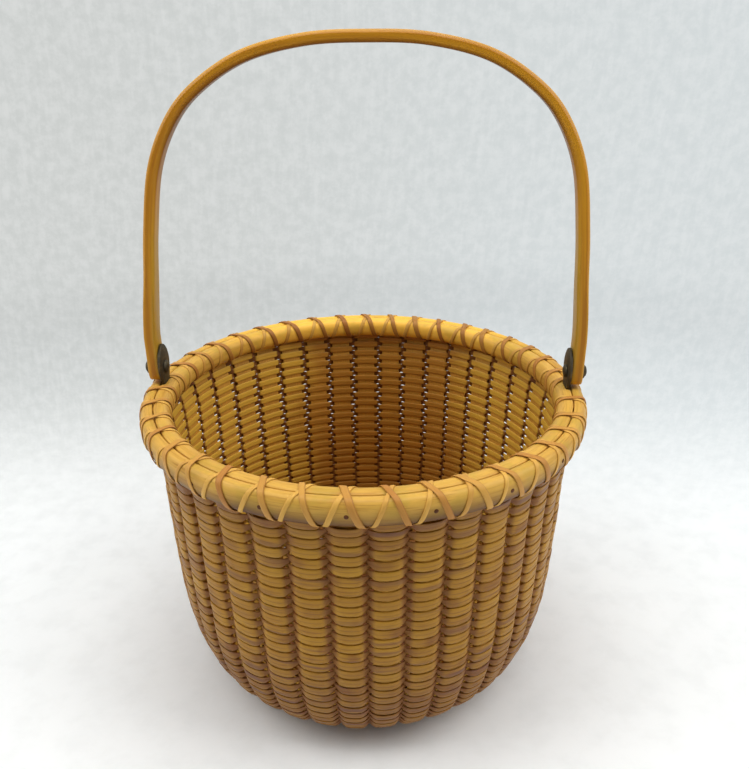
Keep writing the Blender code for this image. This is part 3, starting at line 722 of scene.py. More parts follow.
def mesh_piece(name, parts, smooth=True):
    """An object from swept parts: dicts of spots, quads, caps, uv and values."""
    spots = np.vstack([part["spots"] for part in parts])
    starts = np.cumsum([0] + [len(part["spots"]) for part in parts])
    quads = np.vstack([part["quads"] + start for part, start in zip(parts, starts)])
    caps = [[k + start for k in cap] for part, start in zip(parts, starts) for cap in part["caps"]]
    first = spots[quads[:, 0]]
    volume = sum(
        (first * np.cross(spots[quads[:, a]], spots[quads[:, b]])).sum()
        for a, b in ((1, 2), (2, 3))
    )
    if volume < 0:      # the faces look inward
        quads = quads[:, ::-1]
        caps = [cap[::-1] for cap in caps]
    corners = np.concatenate([quads.ravel()] + [np.array(cap) for cap in caps]).astype(np.int32)
    sizes = np.concatenate([np.full(len(quads), 4), [len(cap) for cap in caps]]).astype(np.int32)
    mesh = bpy.data.meshes.new(name)
    mesh.vertices.add(len(spots))
    mesh.vertices.foreach_set("co", spots.ravel())
    mesh.loops.add(len(corners))
    mesh.loops.foreach_set("vertex_index", corners)
    mesh.polygons.add(len(sizes))
    mesh.polygons.foreach_set(
        "loop_start", np.concatenate([[0], np.cumsum(sizes)[:-1]]).astype(np.int32))
    mesh.polygons.foreach_set("use_smooth", np.full(len(sizes), smooth))
    mesh.update(calc_edges=True)
    mesh.validate()
    uv = np.vstack([part["uv"] for part in parts])
    layer = mesh.uv_layers.new(name="strand")
    layer.data.foreach_set("uv", uv[corners].ravel())
    for key in parts[0]["values"]:
        values = np.concatenate([part["values"][key] for part in parts])
        mesh.attributes.new(key, "FLOAT", "POINT").data.foreach_set(
            "value", values.astype(np.float32))
    thing = bpy.data.objects.new(name, mesh)
    bpy.context.scene.collection.objects.link(thing)
    return thing


def radial(angle, out, up):
    """Points or ways from an angle about Z, a radial and an upright part."""
    return np.stack([out * np.cos(angle), out * np.sin(angle), up * np.ones_like(angle)], 1)


def select_only(*things):
    """Make these objects the selected ones, and the first the active one."""
    bpy.ops.object.select_all(action="DESELECT")
    for thing in things:
        thing.select_set(True)
    bpy.context.view_layer.objects.active = things[0]


def turned_piece(name, outline, steps):
    """A lathe piece: an outline of (radius, height) points spun about Z."""
    bpy.ops.object.select_all(action="DESELECT")
    bpy.ops.mesh.primitive_circle_add(vertices=len(outline), radius=1.0, location=(0, 0, 0))
    thing = bpy.context.object
    thing.name = thing.data.name = name
    for vertex, (radius, height) in zip(thing.data.vertices, outline):
        vertex.co = (radius, 0.0, height)
    bpy.ops.object.mode_set(mode="EDIT")
    bpy.ops.mesh.select_all(action="SELECT")
    bpy.ops.mesh.spin(
        steps=steps, angle=FULL_TURN, center=(0, 0, 0), axis=(0, 0, 1), use_auto_merge=True)
    bpy.ops.mesh.select_all(action="SELECT")
    bpy.ops.mesh.remove_doubles(threshold=1e-6)
    bpy.ops.mesh.normals_make_consistent(inside=False)
    bpy.ops.object.mode_set(mode="OBJECT")
    return thing


def apply_modifier(thing, kind, **settings):
    """Add a modifier with its settings and apply it."""
    select_only(thing)
    modifier = thing.modifiers.new(kind.title(), kind)
    for name, value in settings.items():
        setattr(modifier, name, value)
    bpy.ops.object.modifier_apply(modifier=modifier.name)


def ease_edges(thing, width, angle):
    """Round off the edges sharper than the angle in degrees."""
    limit = math.radians(angle)
    apply_modifier(thing, "BEVEL", width=width, segments=2, limit_method="ANGLE", angle_limit=limit)


def settle(thing, material, nodes, body=BODY, angle=None):
    """Apply the piece's place, give it its finish and tie it to the frame."""
    select_only(thing)
    bpy.ops.object.transform_apply(location=True, rotation=True, scale=True)
    if angle is not None:
        bpy.ops.object.shade_smooth_by_angle(angle=math.radians(angle))
    thing.data.materials.clear()
    thing.data.materials.append(material)
    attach(thing, body)
    if nodes:
        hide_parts(*nodes)
    bpy.ops.object.select_all(action="DESELECT")
    return thing


def copy_piece(thing, name, matrix):
    """A copy with its own mesh, moved by a matrix."""
    made = thing.copy()
    made.data = thing.data.copy()
    made.name = made.data.name = name
    made.data.transform(matrix)
    bpy.context.scene.collection.objects.link(made)
    return made


# ---------------------------------------------------------------- base, staves, weave

def build_base(sizes, colours):
    """The turned base, eased at its edges, with the groove for the staves."""
    radius, top = BASE_HIGH.x, BASE_HIGH.z
    half_groove = sizes.stave_foot_thickness / 2 + sizes.clearance
    corner = [
        (radius - BASE_EASE + BASE_EASE * math.sin(a), top - BASE_EASE + BASE_EASE * math.cos(a))
        for a in np.linspace(0, math.pi / 2, 6)
    ]
    upper, lower = sizes.groove_level + half_groove, sizes.groove_level - half_groove
    outline = [(0.0, top)] + corner + [
        (radius, upper), (radius - GROOVE_DEPTH, upper),
        (radius - GROOVE_DEPTH, lower), (radius, lower),
    ]
    outline += [(r, top - z) for r, z in reversed(corner)] + [(0.0, 0.0)]
    thing = turned_piece("turned_base", outline, 120)
    return settle(thing, base_finish(colours), ["base"], angle=35)


def build_staves(sizes, colours):
    """All the uprights, as one piece that follows the wall's smooth line."""
    wall = WallLine(sizes)
    foot = BASE_HIGH.x - GROOVE_DEPTH + sizes.clearance
    along = np.linspace(0, wall.length, 46)
    radius, height, way_out, way_up = wall.at(along)
    shift = smooth_step(along, *SHIFT_BELOW) * smooth_step(wall.length - along, *SHIFT_ABOVE)
    shift *= sizes.stave_shift
    radius = np.concatenate([[foot], radius + way_up * shift, [sizes.seam_radius]])
    height = np.concatenate(
        [[sizes.groove_level], height - way_out * shift, [RIM_TOP - STAVE_TOP_DROP]])
    way_out = np.concatenate([[1.0], way_out, [0.0]])
    way_up = np.concatenate([[0.0], way_up, [1.0]])
    way_out[1], way_up[1] = 1.0, 0.0
    way_out[-2], way_up[-2] = 0.0, 1.0
    share = run_lengths(np.stack([radius, height], 1))
    share /= share[-1]
    spread = (radius - foot) / (radius.max() - foot)
    widths = sizes.stave_foot + (sizes.stave_top - sizes.stave_foot) * spread
    thicknesses = np.interp(share, STAVE_STATIONS, (
        sizes.stave_foot_thickness, sizes.stave_foot_thickness, sizes.stave_thickness,
        sizes.stave_thickness, *STAVE_TOP_THICKNESSES))
    parts = []
    for index in range(len(STAVES)):
        middle = stave_angle(sizes, index)
        angle = middle + wander(middle, share)
        parts.append(swept_part(
            radial(angle, radius, height), radial(angle + math.pi / 2, np.ones_like(share), 0.0),
            radial(angle, way_up, -way_out), STAVE_SECTION, widths, thicknesses, turn=float(index),
        ))
    thing = mesh_piece("stave_ring", parts, smooth=False)
    return settle(thing, stave_finish(colours), STAVES, angle=50)


def row_lengths(sizes, wall):
    """Lengths up the wall and the turns of cane wound below each of them."""
    lengths = np.linspace(0, wall.length, 600)
    pitches = np.interp(
        lengths, ROW_STATIONS, (sizes.foot_pitch, sizes.foot_pitch, sizes.row_pitch))
    turns = np.concatenate([[0.0], np.cumsum(np.diff(lengths) / pitches[1:])])
    return lengths, pitches, turns


def build_weave(sizes, colours):
    """One long cane, over and under the staves, up the wall in a spiral, as four pieces."""
    wall = WallLine(sizes)
    count = len(STAVES)
    lengths, pitches, turns = row_lengths(sizes, wall)
    edge = sizes.foot_pitch * sizes.squeeze_share / 2 + END_PLAY
    first, last = np.interp((edge, wall.length - edge), lengths, turns)
    station = np.arange(int((last - first) * STATIONS_TO_STAVE * count) + 1) / STATIONS_TO_STAVE
    # Stations stand closer together where the cane bends between two staves
    turn = (station - STATION_CROWDING * np.sin(FULL_TURN * station) / FULL_TURN) / count
    flat_angle = stave_angle(sizes, 0.5) + turn * FULL_TURN
    along = np.interp(first + turn, turns, lengths)
    # The rows are closer together low at the back, and wider apart above
    share = np.clip(along / wall.length, 0, 1)
    drop = (0.5 + 0.5 * np.sin(flat_angle)) * np.sin(math.pi * share ** DROP_SKEW) ** 2
    along = along - sizes.back_drop * drop
    pitch = np.interp(along, lengths, pitches)
    # Small unevenness in the height of the rows
    along = along + ROW_WAVES[0] * np.sin(5.3 * turn * FULL_TURN + 1.7 * np.sin(turn * 2.1))
    along = along + ROW_WAVES[1] * np.sin(11.7 * turn * FULL_TURN + 0.4)
    crest = np.cos(math.pi * (turn * count + 0.5))
    angle = flat_angle + wander(flat_angle, along / wall.length)
    # Outside the cane stands out in rounded columns; inside it lies flatter
    swell = np.where(
        crest > 0, sizes.cane_out * np.sin(math.pi / 2 * np.clip(crest / FULL_OUT, 0, 1)),
        -sizes.cane_in * np.sin(math.pi / 2 * np.clip(-crest / FULL_IN, 0, 1)),
    )
    # The cane dips over each stave, most near the foot
    sag = np.interp(along, *SAG_STATIONS)
    sag = sizes.cane_sag + (sizes.foot_sag - sizes.cane_sag) * sag
    sag = sag * smooth_step(along, edge, SAG_REACH)
    along = np.clip(along - sag * np.clip(crest, 0, 1) ** SAG_ROUNDNESS, edge, wall.length - edge)
    radius, height, way_out, way_up = wall.at(along)
    # Under the rim the last rows lie flatter
    tucked = np.interp(wall.length - along, *TUCK_STATIONS)
    uneven = np.sin(turn * 3.7 * FULL_TURN + np.sin(turn * 1.3) * 3)
    reach = swell * tucked * (1 + REACH_WAVE * uneven)
    centres = radial(angle, radius + way_up * reach, height - way_out * reach)
    up_wall = radial(angle, way_out, way_up)
    strand = unit(np.gradient(centres, axis=0))
    out = unit(np.cross(up_wall, strand))
    out *= np.sign((out * radial(angle, way_up, -way_out)).sum(1))[:, None]
    across = unit(np.cross(strand, out))
    across *= np.sign((across * up_wall).sum(1))[:, None]
    fullness = np.where(crest > 0, smooth_step(crest, *WIDEN_OUT), smooth_step(-crest, *WIDEN_IN))
    full_share = np.where(crest > 0, sizes.cane_share, sizes.inside_share)
    widths = pitch * (sizes.squeeze_share + (full_share - sizes.squeeze_share) * fullness)
    room = 2 * (np.minimum(along, wall.length - along) + END_PLAY)
    widths = np.minimum(widths, np.maximum(room, pitch * sizes.squeeze_share))
    thicknesses = np.interp(along, *CANE_STATIONS)
    thicknesses = thicknesses * (TUCKED_THICKNESS + (1 - TUCKED_THICKNESS) * tucked)
    thicknesses *= sizes.cane_thickness
    material = cane_finish(colours)
    made = []
    names = ("cane_foot", "cane_lower", "cane_middle", "cane_upper")
    cuts = np.linspace(0, len(turn) - 1, len(names) + 1).astype(int)
    for name, start, stop in zip(names, cuts, cuts[1:]):
        span = slice(start, stop + 1)
        part = swept_part(
            centres[span], across[span], out[span], CANE_SECTION, widths[span], thicknesses[span],
            turn=turn[span], crest=crest[span],
        )
        part["uv"][:, 0] += start * GRAIN_STEP
        made.append(settle(mesh_piece(name, [part]), material, ["woven_wall"]))
    return made


# ---------------------------------------------------------------- rim

def hoop_half(sizes, side, growth, points):
    """Rounded outer side of a hoop's section, bottom to top, as (radius, height)."""
    thickness = sizes.outer_hoop if side > 0 else sizes.inner_hoop
    seam = sizes.seam_radius + side * sizes.seam_width / 2
    half = (RIM_TOP - RIM_BOTTOM) / 2 * (1 if side > 0 else sizes.inner_height)
    middle = RIM_TOP - half
    angle = np.linspace(math.pi, 0, points)
    out = CROWN_SHARE + (1 - CROWN_SHARE) * np.clip(np.sin(angle), 0, 1) ** HOOP_ROUNDNESS
    up = np.sign(np.cos(angle)) * np.abs(np.cos(angle)) ** HOOP_ROUNDNESS
    return np.stack([seam + side * (thickness + growth) * out, middle + (half + growth) * up], 1)


def hoop_section(sizes, side):
    """A hoop's whole closed section: the rounded side and the eased seam side."""
    rounded = hoop_half(sizes, side, 0.0, 26)
    seam = sizes.seam_radius + side * sizes.seam_width / 2
    top, bottom = rounded[-1, 1], rounded[0, 1]
    crown = abs(rounded[-1, 0] - seam)
    fall = (top - bottom) / 2 * SEAM_EASE_SHARE
    angle = np.linspace(0, math.pi / 2, 7)[1:]
    out = crown * (1 - np.sin(angle) ** SEAM_ROUNDNESS)
    down = fall * (1 - np.cos(angle) ** SEAM_ROUNDNESS)
    upper = np.stack([seam + side * out, top - down], 1)
    lower = np.stack([seam + side * out, bottom + down], 1)[::-1]
    return np.vstack([rounded, upper, lower])


def build_hoops(sizes, colours):
    """The two bent hoops; the inner one is notched for the ears."""
    material = hoop_finish(colours)
    made = []
    for side, name, node in ((1, "outer_band", "outer_hoop"), (-1, "inner_band", "inner_hoop")):
        thing = turned_piece(name, [tuple(place) for place in hoop_section(sizes, side)], 160)
        if side < 0:
            for ear in (1, -1):
                bpy.ops.object.select_all(action="DESELECT")
                low, high = EAR_LOW.z - sizes.clearance, RIM_TOP + NOTCH_OVERRUN
                middle = (ear * NOTCH_RADIUS, 0.0, (low + high) / 2)
                bpy.ops.mesh.primitive_cube_add(size=1.0, location=middle)
                cutter = bpy.context.object
                cutter.scale = (*NOTCH_SIZE, high - low)
                apply_modifier(
                    thing, "BOOLEAN", operation="DIFFERENCE", solver="EXACT", object=cutter)
                bpy.data.objects.remove(cutter)
        made.append(settle(thing, material, [node], angle=40))
    return made


def rim_path(sizes):
    """The lashing's way round both hoops: radius, height and share of advance."""
    growth = sizes.lashing_thickness / 2 + LASHING_GAP
    outer = hoop_half(sizes, 1, growth, 30)
    inner = hoop_half(sizes, -1, growth, 30)[::-1]
    under = RIM_BOTTOM - sizes.lashing_thickness / 2 - LASHING_DROP
    outer[:, 1] = np.maximum(outer[:, 1], under)
    inner[:, 1] = np.maximum(inner[:, 1], under)
    ring = np.vstack([[[sizes.seam_radius, under]], outer, inner, [[sizes.seam_radius, under]]])
    lengths = run_lengths(ring)
    # Half of the advance is made by a little past the top of the seam
    crossing = lengths[len(outer)] + CROSSING_OFFSET
    even = np.linspace(0, lengths[-1], LASHING_STATIONS + 1)[:-1]
    path = np.stack([np.interp(even, lengths, ring[:, k]) for k in (0, 1)], 1)
    advance = np.interp(even, (0, crossing, lengths[-1]), (0, 0.5, 1))
    return path, advance


def ear_lean(sizes, wrap):
    """Share of a pitch by which a wrap leans away from an ear beside it."""
    for ear_angle in (0.0, math.pi, FULL_TURN):
        away = (stave_angle(sizes, wrap) - ear_angle) / (FULL_TURN / len(STAVES))
        if abs(away) < 0.5:
            return math.copysign(0.5 - abs(away), away)
    return 0.0


def lashing_strip(sizes, way, jitter):
    """One family of the crossed lashing; way is 1 below the crossings, -1 above them."""
    path, advance = rim_path(sizes)
    count = len(STAVES)
    over_top = 1 - np.abs(2 * advance - 1)
    turns = []
    for wrap in range(count):
        number = wrap if way > 0 else count - 1 - wrap
        shares = advance if way > 0 else 1 - advance
        uneven = jitter[number] * over_top + jitter[number - 5] * 0.5 * np.sin(FULL_TURN * advance)
        shares = shares + ear_lean(sizes, number) * over_top + uneven
        angle = stave_angle(sizes, number - 0.5) + shares * FULL_TURN / count
        turns.append(angle + wander(angle, 1.0))
    angle = np.concatenate(turns)
    ways = unit(np.gradient(np.vstack([path[-1:], path, path[:1]]), axis=0)[1:-1])
    # The upper strip rises over the lower one where they cross
    near = np.minimum(np.abs(advance - 0.5), np.minimum(advance, 1 - advance))
    lift = sizes.lashing_thickness * np.clip(LIFT_PEAK - near / LIFT_SPAN, 0, 1) * (way < 0)
    radius, height = np.tile((path + (ways[:, ::-1] * (1, -1)) * lift[:, None]).T, count)
    outward = radial(angle, np.tile(ways[:, 1], count), np.tile(-ways[:, 0], count))
    centres = radial(angle, radius, height)
    strand = unit(np.gradient(centres, axis=0))
    across = unit(np.cross(strand, outward))
    out = unit(np.cross(across, strand))
    out *= np.sign((out * outward).sum(1))[:, None]
    wrap = np.repeat(np.arange(count), len(path))
    share = 1 if way < 0 else sizes.under_share
    widths = sizes.lashing_width * share * (1 + LASHING_WAVE * np.sin(wrap * 2.4 + way))
    thicknesses = np.full(len(angle), sizes.lashing_thickness)
    number = wrap + (UPPER_STRIPS if way < 0 else 0.0)
    return swept_part(centres, across, out, STRIP_SECTION, widths, thicknesses, turn=number)


def build_lashing(sizes, colours):
    """Two families of strips that cross over the rim at every stave."""
    chance = np.random.default_rng(7)
    jitter = chance.uniform(-LASHING_JITTER, LASHING_JITTER, len(STAVES))
    made = []
    for way, name, brown in ((1, "lashing_under", 0.22), (-1, "lashing_over", 0.72)):
        thing = mesh_piece(name, [lashing_strip(sizes, way, jitter)])
        made.append(settle(thing, lashing_finish(colours, brown), ["rim_lashing"]))
    return made


def build_tacks(sizes, colours):
    """Small nail heads through the outer hoop."""
    bpy.ops.object.select_all(action="DESELECT")
    bpy.ops.mesh.primitive_uv_sphere_add(
        segments=12, ring_count=8, radius=sizes.tack_radius, location=(0, 0, 0))
    tack = bpy.context.object
    tack.scale = (TACK_FLATNESS, 1.0, 1.0)
    bpy.ops.object.transform_apply(location=False, rotation=False, scale=True)
    face = hoop_half(sizes, 1, 0.0, 60)[:, 0].max()
    copies = []
    for index in range(sizes.tack_count):
        angle = FIRST_TACK + index * FULL_TURN / sizes.tack_count
        place = Matrix.Translation((face - TACK_SINK, 0.0, RIM_BOTTOM + TACK_RISE))
        copies.append(copy_piece(tack, "tack", Matrix.Rotation(angle, 4, "Z") @ place))
    bpy.data.objects.remove(tack)
    select_only(*copies)
    bpy.ops.object.join()
    thing = bpy.context.object
    thing.name = thing.data.name = "hoop_tacks"
    return settle(thing, tack_finish(colours), [], angle=60)


# ---------------------------------------------------------------- ears, rivets, handle

def build_ears(sizes, colours):
    """Two leaf-shaped plates cut from brass sheet."""
    thickness = EAR_HIGH.x - EAR_LOW.x
    half = (EAR_HIGH.y - EAR_LOW.y) / 2
    rise = EAR_HIGH.z - RIM_TOP
    right = [(half * out, RIM_TOP + rise * up if up >= 0 else EAR_LOW.z) for out, up in EAR_SHARES]
    line = right + [(-y, z) for y, z in reversed(right[:-1])]
    bpy.ops.object.select_all(action="DESELECT")
    bpy.ops.mesh.primitive_circle_add(
        vertices=len(line), radius=1.0, fill_type="NGON", location=(0, 0, 0))
    ear = bpy.context.object
    for vertex, (y, z) in zip(ear.data.vertices, line):
        vertex.co = (EAR_LOW.x, y, z)
    bpy.ops.object.mode_set(mode="EDIT")
    bpy.ops.mesh.select_all(action="SELECT")
    bpy.ops.mesh.extrude_region_move(TRANSFORM_OT_translate={"value": (thickness, 0, 0)})
    bpy.ops.mesh.select_all(action="SELECT")
    bpy.ops.mesh.normals_make_consistent(inside=False)
    bpy.ops.object.mode_set(mode="OBJECT")
    ease_edges(ear, EAR_EASE, 40)
    material = brass_finish("leaf_brass", colours, 0.35)
    made = []
    for side, name in ((1, "right"), (-1, "left")):
        thing = copy_piece(ear, "leaf_" + name, Matrix.Rotation(0 if side > 0 else math.pi, 4, "Z"))
        made.append(settle(thing, material, ["ear_" + name], angle=35))
    bpy.data.objects.remove(ear)
    return made


def dome(radius, height, face):
    """Outline of a low dome on a face, from its crown to its edge."""
    return [
        (radius * math.sin(angle), face + height * math.cos(angle))
        for angle in np.linspace(0, math.pi / 2, 8)
    ]


def build_rivets(sizes, colours):
    """A domed rivet and a flat washer at each pivot."""
    head_face = RIVET_LOW.x + HEAD_HEIGHT
    peen_face = RIVET_HIGH.x - PEEN_HEIGHT
    peen = dome(PEEN_RADIUS, PEEN_HEIGHT, peen_face)
    head = dome(HEAD_RADIUS, -HEAD_HEIGHT, head_face)[::-1]
    shank = [(RIVET_RADIUS, peen_face), (RIVET_RADIUS, head_face)]
    rivet = turned_piece("rivet", peen + shank + head, 32)
    inner, outer = WASHER_LOW.x, WASHER_HIGH.x
    edge = (WASHER_HIGH.z - WASHER_LOW.z) / 2
    washer = turned_piece("washer", [
        (edge - WASHER_EASE, outer), (edge, outer - WASHER_EASE), (edge, inner),
        (WASHER_BORE, inner), (WASHER_BORE, outer),
    ], 36)
    material = brass_finish("pivot_brass", colours, 0.5)
    made = []
    for thing, word in ((rivet, "rivet"), (washer, "washer")):
        for side, name in ((1, "right"), (-1, "left")):
            turned = Matrix.Rotation(side * math.pi / 2, 4, "Y")
            place = Matrix.Translation((0, 0, PIVOT_HEIGHT)) @ turned
            piece = copy_piece(thing, "domed_%s_%s" % (word, name), place)
            made.append(settle(piece, material, ["%s_%s" % (word, name)], angle=40))
        bpy.data.objects.remove(thing)
    return made


def handle_section(chamfer, width, thickness):
    """The strap's corners, with a point amid each face, as (across, out) shares."""
    side, face = 1 - 2 * chamfer / width, 1 - 2 * chamfer / thickness
    return [(0, -1), (side, -1), (1, -face), (1, 0), (1, face), (side, 1),
            (0, 1), (-side, 1), (-1, face), (-1, 0), (-1, -face), (-side, -1)]


def limb_line(half_span, rise, tip):
    """Middle line of one limb of the strap, from its end to the crown."""
    bend = [(half_span * out, rise * up) for out, up in HANDLE_LINE_SHARES]
    # One more point at each end gives the bend its way there
    below = (half_span, 2 * HANDLE_STRAIGHT - rise * HANDLE_LINE_SHARES[0][1])
    beyond = (-half_span * HANDLE_LINE_SHARES[-2][0], rise * HANDLE_LINE_SHARES[-2][1])
    curve = smooth_points([below, (half_span, HANDLE_STRAIGHT), *bend, beyond], 12)[12:-12]
    plumb = np.stack([np.full(6, half_span), np.linspace(0, HANDLE_STRAIGHT, 7)[:-1]], 1)
    tips = [(half_span, -tip * down) for down, _ in HANDLE_TIP_SHARES]
    line = np.vstack([tips, plumb, curve])
    # Extra stations where the chamfers stop, low on the limb
    extra = np.stack([np.interp(CHAMFER_STATIONS, line[:50, 1], line[:50, 0]), CHAMFER_STATIONS], 1)
    low = line[:, 0] >= half_span * 0.97
    limb = np.vstack([line[low], extra])
    return np.vstack([limb[np.argsort(limb[:, 1])], line[~low]])


def build_handle(sizes, colours):
    """The bent strap, with chamfers that stop short of its plain ends."""
    half_span = (HANDLE_HIGH.x - HANDLE_LOW.x - sizes.handle_thickness) / 2
    rise = HANDLE_HIGH.z - PIVOT_HEIGHT - HANDLE_INSET
    tip = PIVOT_HEIGHT - HANDLE_LOW.z
    line = limb_line(half_span, rise, tip)
    share = np.clip(line[:, 1] / rise, 0, 1)
    down, wide = zip(*HANDLE_TIP_SHARES[::-1])
    widths = sizes.handle_width + (sizes.handle_crown - sizes.handle_width) * share
    widths = widths * np.interp(-line[:, 1] / tip, (0.0, *down), (1.0, *wide))
    thicknesses = sizes.handle_thickness + (HANDLE_CROWN_THICKNESS - sizes.handle_thickness) * share
    chamfers = EDGE_WEAR + (sizes.handle_chamfer - EDGE_WEAR) * smooth_step(
        line[:, 1], *CHAMFER_START)
    # The second limb mirrors the first, and both lean toward the crown
    widths, thicknesses, chamfers = (
        np.concatenate([values, values[-2::-1]]) for values in (widths, thicknesses, chamfers)
    )
    full = np.vstack([line, line[-2::-1] * (-1, 1)])
    lean = np.clip((full[:, 1] - HANDLE_STRAIGHT) / (rise - HANDLE_STRAIGHT), 0, 1)
    full[:, 0] += sizes.handle_lean * lean
    ways = unit(np.gradient(full, axis=0))
    level = np.zeros(len(full))
    middles = np.stack([full[:, 0], level, full[:, 1] + PIVOT_HEIGHT], 1)
    out = np.stack([ways[:, 1], level, -ways[:, 0]], 1)
    across = np.tile((0.0, 1.0, 0.0), (len(full), 1))
    sections = [handle_section(*values) for values in zip(chamfers, widths, thicknesses)]
    strap = swept_part(middles, across, out, sections, widths, thicknesses)
    thing = mesh_piece("bent_handle", [strap], smooth=False)
    ease_edges(thing, HANDLE_EASE, 28)
    return settle(thing, handle_finish(colours), ["handle"], HANDLE_BODY, angle=32)


# ---------------------------------------------------------------- stage

CAMERA_REACH = 0.3322
CAMERA_RISE = math.radians(24.37)
CAMERA_YAW = math.radians(3.5)
CAMERA_ROLL = math.radians(0.75)
CAMERA_PAN = math.radians(-0.84)
CAMERA_TILT = math.radians(0.17)
CAMERA_AIM = Vector((0.0, 0.0, 0.1356))
FOCAL_PIXELS = 729.0
PICTURE_HEIGHT = 769
FLOOR_RADIUS = 40.0
FLOOR_LEVEL = -0.0004
# Spot near the camera that the backdrop's clouding is laid out from
EYE = (0.0, -0.3, 0.27)
# Where the floor darkens toward the back, and how far off it turns into the backdrop
FLOOR_FADE = (0.0, 0.30)
FLOOR_REACH = (0.40, 0.80)
# Light that the room sends to the basket from all sides
WORLD_FILL = (0.20, 0.205, 0.21)
# Lamps: name, place, aim, width and depth, watts
LAMPS = (
    ("left", (-0.80, -0.12, 0.85), (0.0, 0.0, 0.08), (0.7, 0.9), 5.9),
    ("right", (0.80, -0.08, 0.85), (0.0, 0.0, 0.08), (0.7, 0.9), 6.6),
    ("overhead", (0.0, 0.02, 1.25), (0.0, 0.0, 0.05), (0.8, 0.8), 7.2),
)


def build_camera():
    """The camera at the photograph's place and lens."""
    spot = Vector((0, -CAMERA_REACH * math.cos(CAMERA_RISE), CAMERA_REACH * math.sin(CAMERA_RISE)))
    forward = -spot.normalized()
    right = Vector((1, 0, 0))
    up = right.cross(forward)
    turn = Matrix.Rotation(CAMERA_PAN, 3, up)
    forward, right = turn @ forward, turn @ right
    turn = Matrix.Rotation(CAMERA_TILT, 3, right)
    forward, up = turn @ forward, turn @ up
    turn = Matrix.Rotation(CAMERA_ROLL, 3, forward)
    right, up = turn @ right, turn @ up
    yaw = Matrix.Rotation(CAMERA_YAW, 3, "Z")
    data = bpy.data.cameras.new("photo_camera")
    data.lens = FOCAL_PIXELS * data.sensor_width / PICTURE_HEIGHT
    data.clip_start = 0.01
    camera = bpy.data.objects.new("photo_camera", data)
    bpy.context.scene.collection.objects.link(camera)
    axes = Matrix((yaw @ right, yaw @ up, -(yaw @ forward))).transposed()
    camera.matrix_world = Matrix.Translation(yaw @ spot + CAMERA_AIM) @ axes.to_4x4()
    bpy.context.scene.camera = camera


def add_lamp(name, place, aim, size, power):
    """A soft oblong lamp that faces its aim; size is its width and depth."""
    data = bpy.data.lights.new(name, "AREA")
    data.shape = "RECTANGLE"
    data.size, data.size_y = size
    data.energy = power
    lamp = bpy.data.objects.new(name, data)
    bpy.context.scene.collection.objects.link(lamp)
    lamp.location = place
    lamp.rotation_euler = (Vector(aim) - Vector(place)).to_track_quat("-Z", "Y").to_euler()


def seen_directly(finish):
    """1 for what the camera sees, straight or in metal and glass, else 0."""
    path = finish.node("ShaderNodeLightPath").socket.node
    camera, glossy, through = (
        Value(finish, path.outputs["Is %s Ray" % kind])
        for kind in ("Camera", "Glossy", "Transmission")
    )
    return (camera + glossy + through).clamped()


def backdrop_tint(finish, colours, x, y, sight):
    """Clouded grey of the backdrop, a little lighter and cooler toward +X."""
    bearing = x / (x * x + y * y).root()
    tint = finish.blend(colours.backdrop, colours.backdrop_cool, bearing.between(-0.45, 0.45))
    # The clouding lies on lines from the camera's spot, so it runs on from the floor to the room
    across, away, rise = finish.parts(sight)
    across, rise = across / away, rise / away
    clouds = finish.streaks(across * 60.0, rise * 60.0, 0.0, 5.0, 0.68)
    drips = finish.streaks(across * 150.0, rise * 20.0, 3.0, 2.0)
    pale = clouds.between(0.36, 0.66) * 0.16 + drips.between(0.40, 0.66) * 0.05
    return finish.blend(tint, (1.0, 1.0, 1.0), pale)


def build_stage(colours):
    """A pale floor that runs into a grey room, soft lamps and a dim world."""
    bpy.ops.object.select_all(action="DESELECT")
    bpy.ops.mesh.primitive_circle_add(
        vertices=96, radius=FLOOR_RADIUS, fill_type="NGON", location=(0, 0, FLOOR_LEVEL))
    floor = bpy.context.object
    floor.name = "pale_floor"
    finish = Finish("pale_paper", roughness=0.9, specular=0.0)
    point, x, y, z = finish.object_point()
    cloth = finish.noise(point, 70.0, 4.0, 0.60)
    sight = finish.vector(*(part - at for part, at in zip((x, y, z), EYE)))
    backdrop = backdrop_tint(finish, colours, x, y, sight)
    near = finish.blend(colours.floor_near, colours.backdrop, cloth.between(0.40, 0.70) * 0.12)
    finish.paint(base=finish.blend(near, backdrop, (y + (cloth - 0.5) * 0.04).between(*FLOOR_FADE)))
    glow = finish.node("ShaderNodeEmission")
    finish.feed(glow.socket.node.inputs["Color"], backdrop)
    # Far off, the floor goes over into the evenly lit room
    far = (x * x + y * y).root().between(*FLOOR_REACH) * seen_directly(finish)
    lit = Value(finish, finish.shader.outputs[0])
    mixed = finish.node("ShaderNodeMixShader", sockets={0: far, 1: lit, 2: glow})
    finish.feed(finish.tree.nodes["Material Output"].inputs["Surface"], mixed)
    floor.data.materials.append(finish.material)
    world = bpy.data.worlds.new("soft_room")
    bpy.context.scene.world = world
    world.use_nodes = True
    room = NodeTree(world.node_tree)
    back = world.node_tree.nodes["Background"]
    sight = room.node("ShaderNodeTexCoord", output=0)
    wall = backdrop_tint(room, colours, *room.parts(sight)[:2], sight)
    room.feed(back.inputs["Color"], room.blend(WORLD_FILL, wall, seen_directly(room)))
    back.inputs["Strength"].default_value = 1.0
    for lamp in LAMPS:
        add_lamp(*lamp)


# ---------------------------------------------------------------- add-on

class BasketOperator:
    """Shared parts of the operators that build pieces."""
    bl_options = {"REGISTER", "UNDO"}

    def execute(self, context):
        self.build(context.scene.basket_sizes, context.scene.basket_colours)
        return {"FINISHED"}


class BASKET_OT_base(BasketOperator, bpy.types.Operator):
    """Turn the wooden base"""
    bl_idname = "basket.base"
    bl_label = "Base"
    build = staticmethod(build_base)


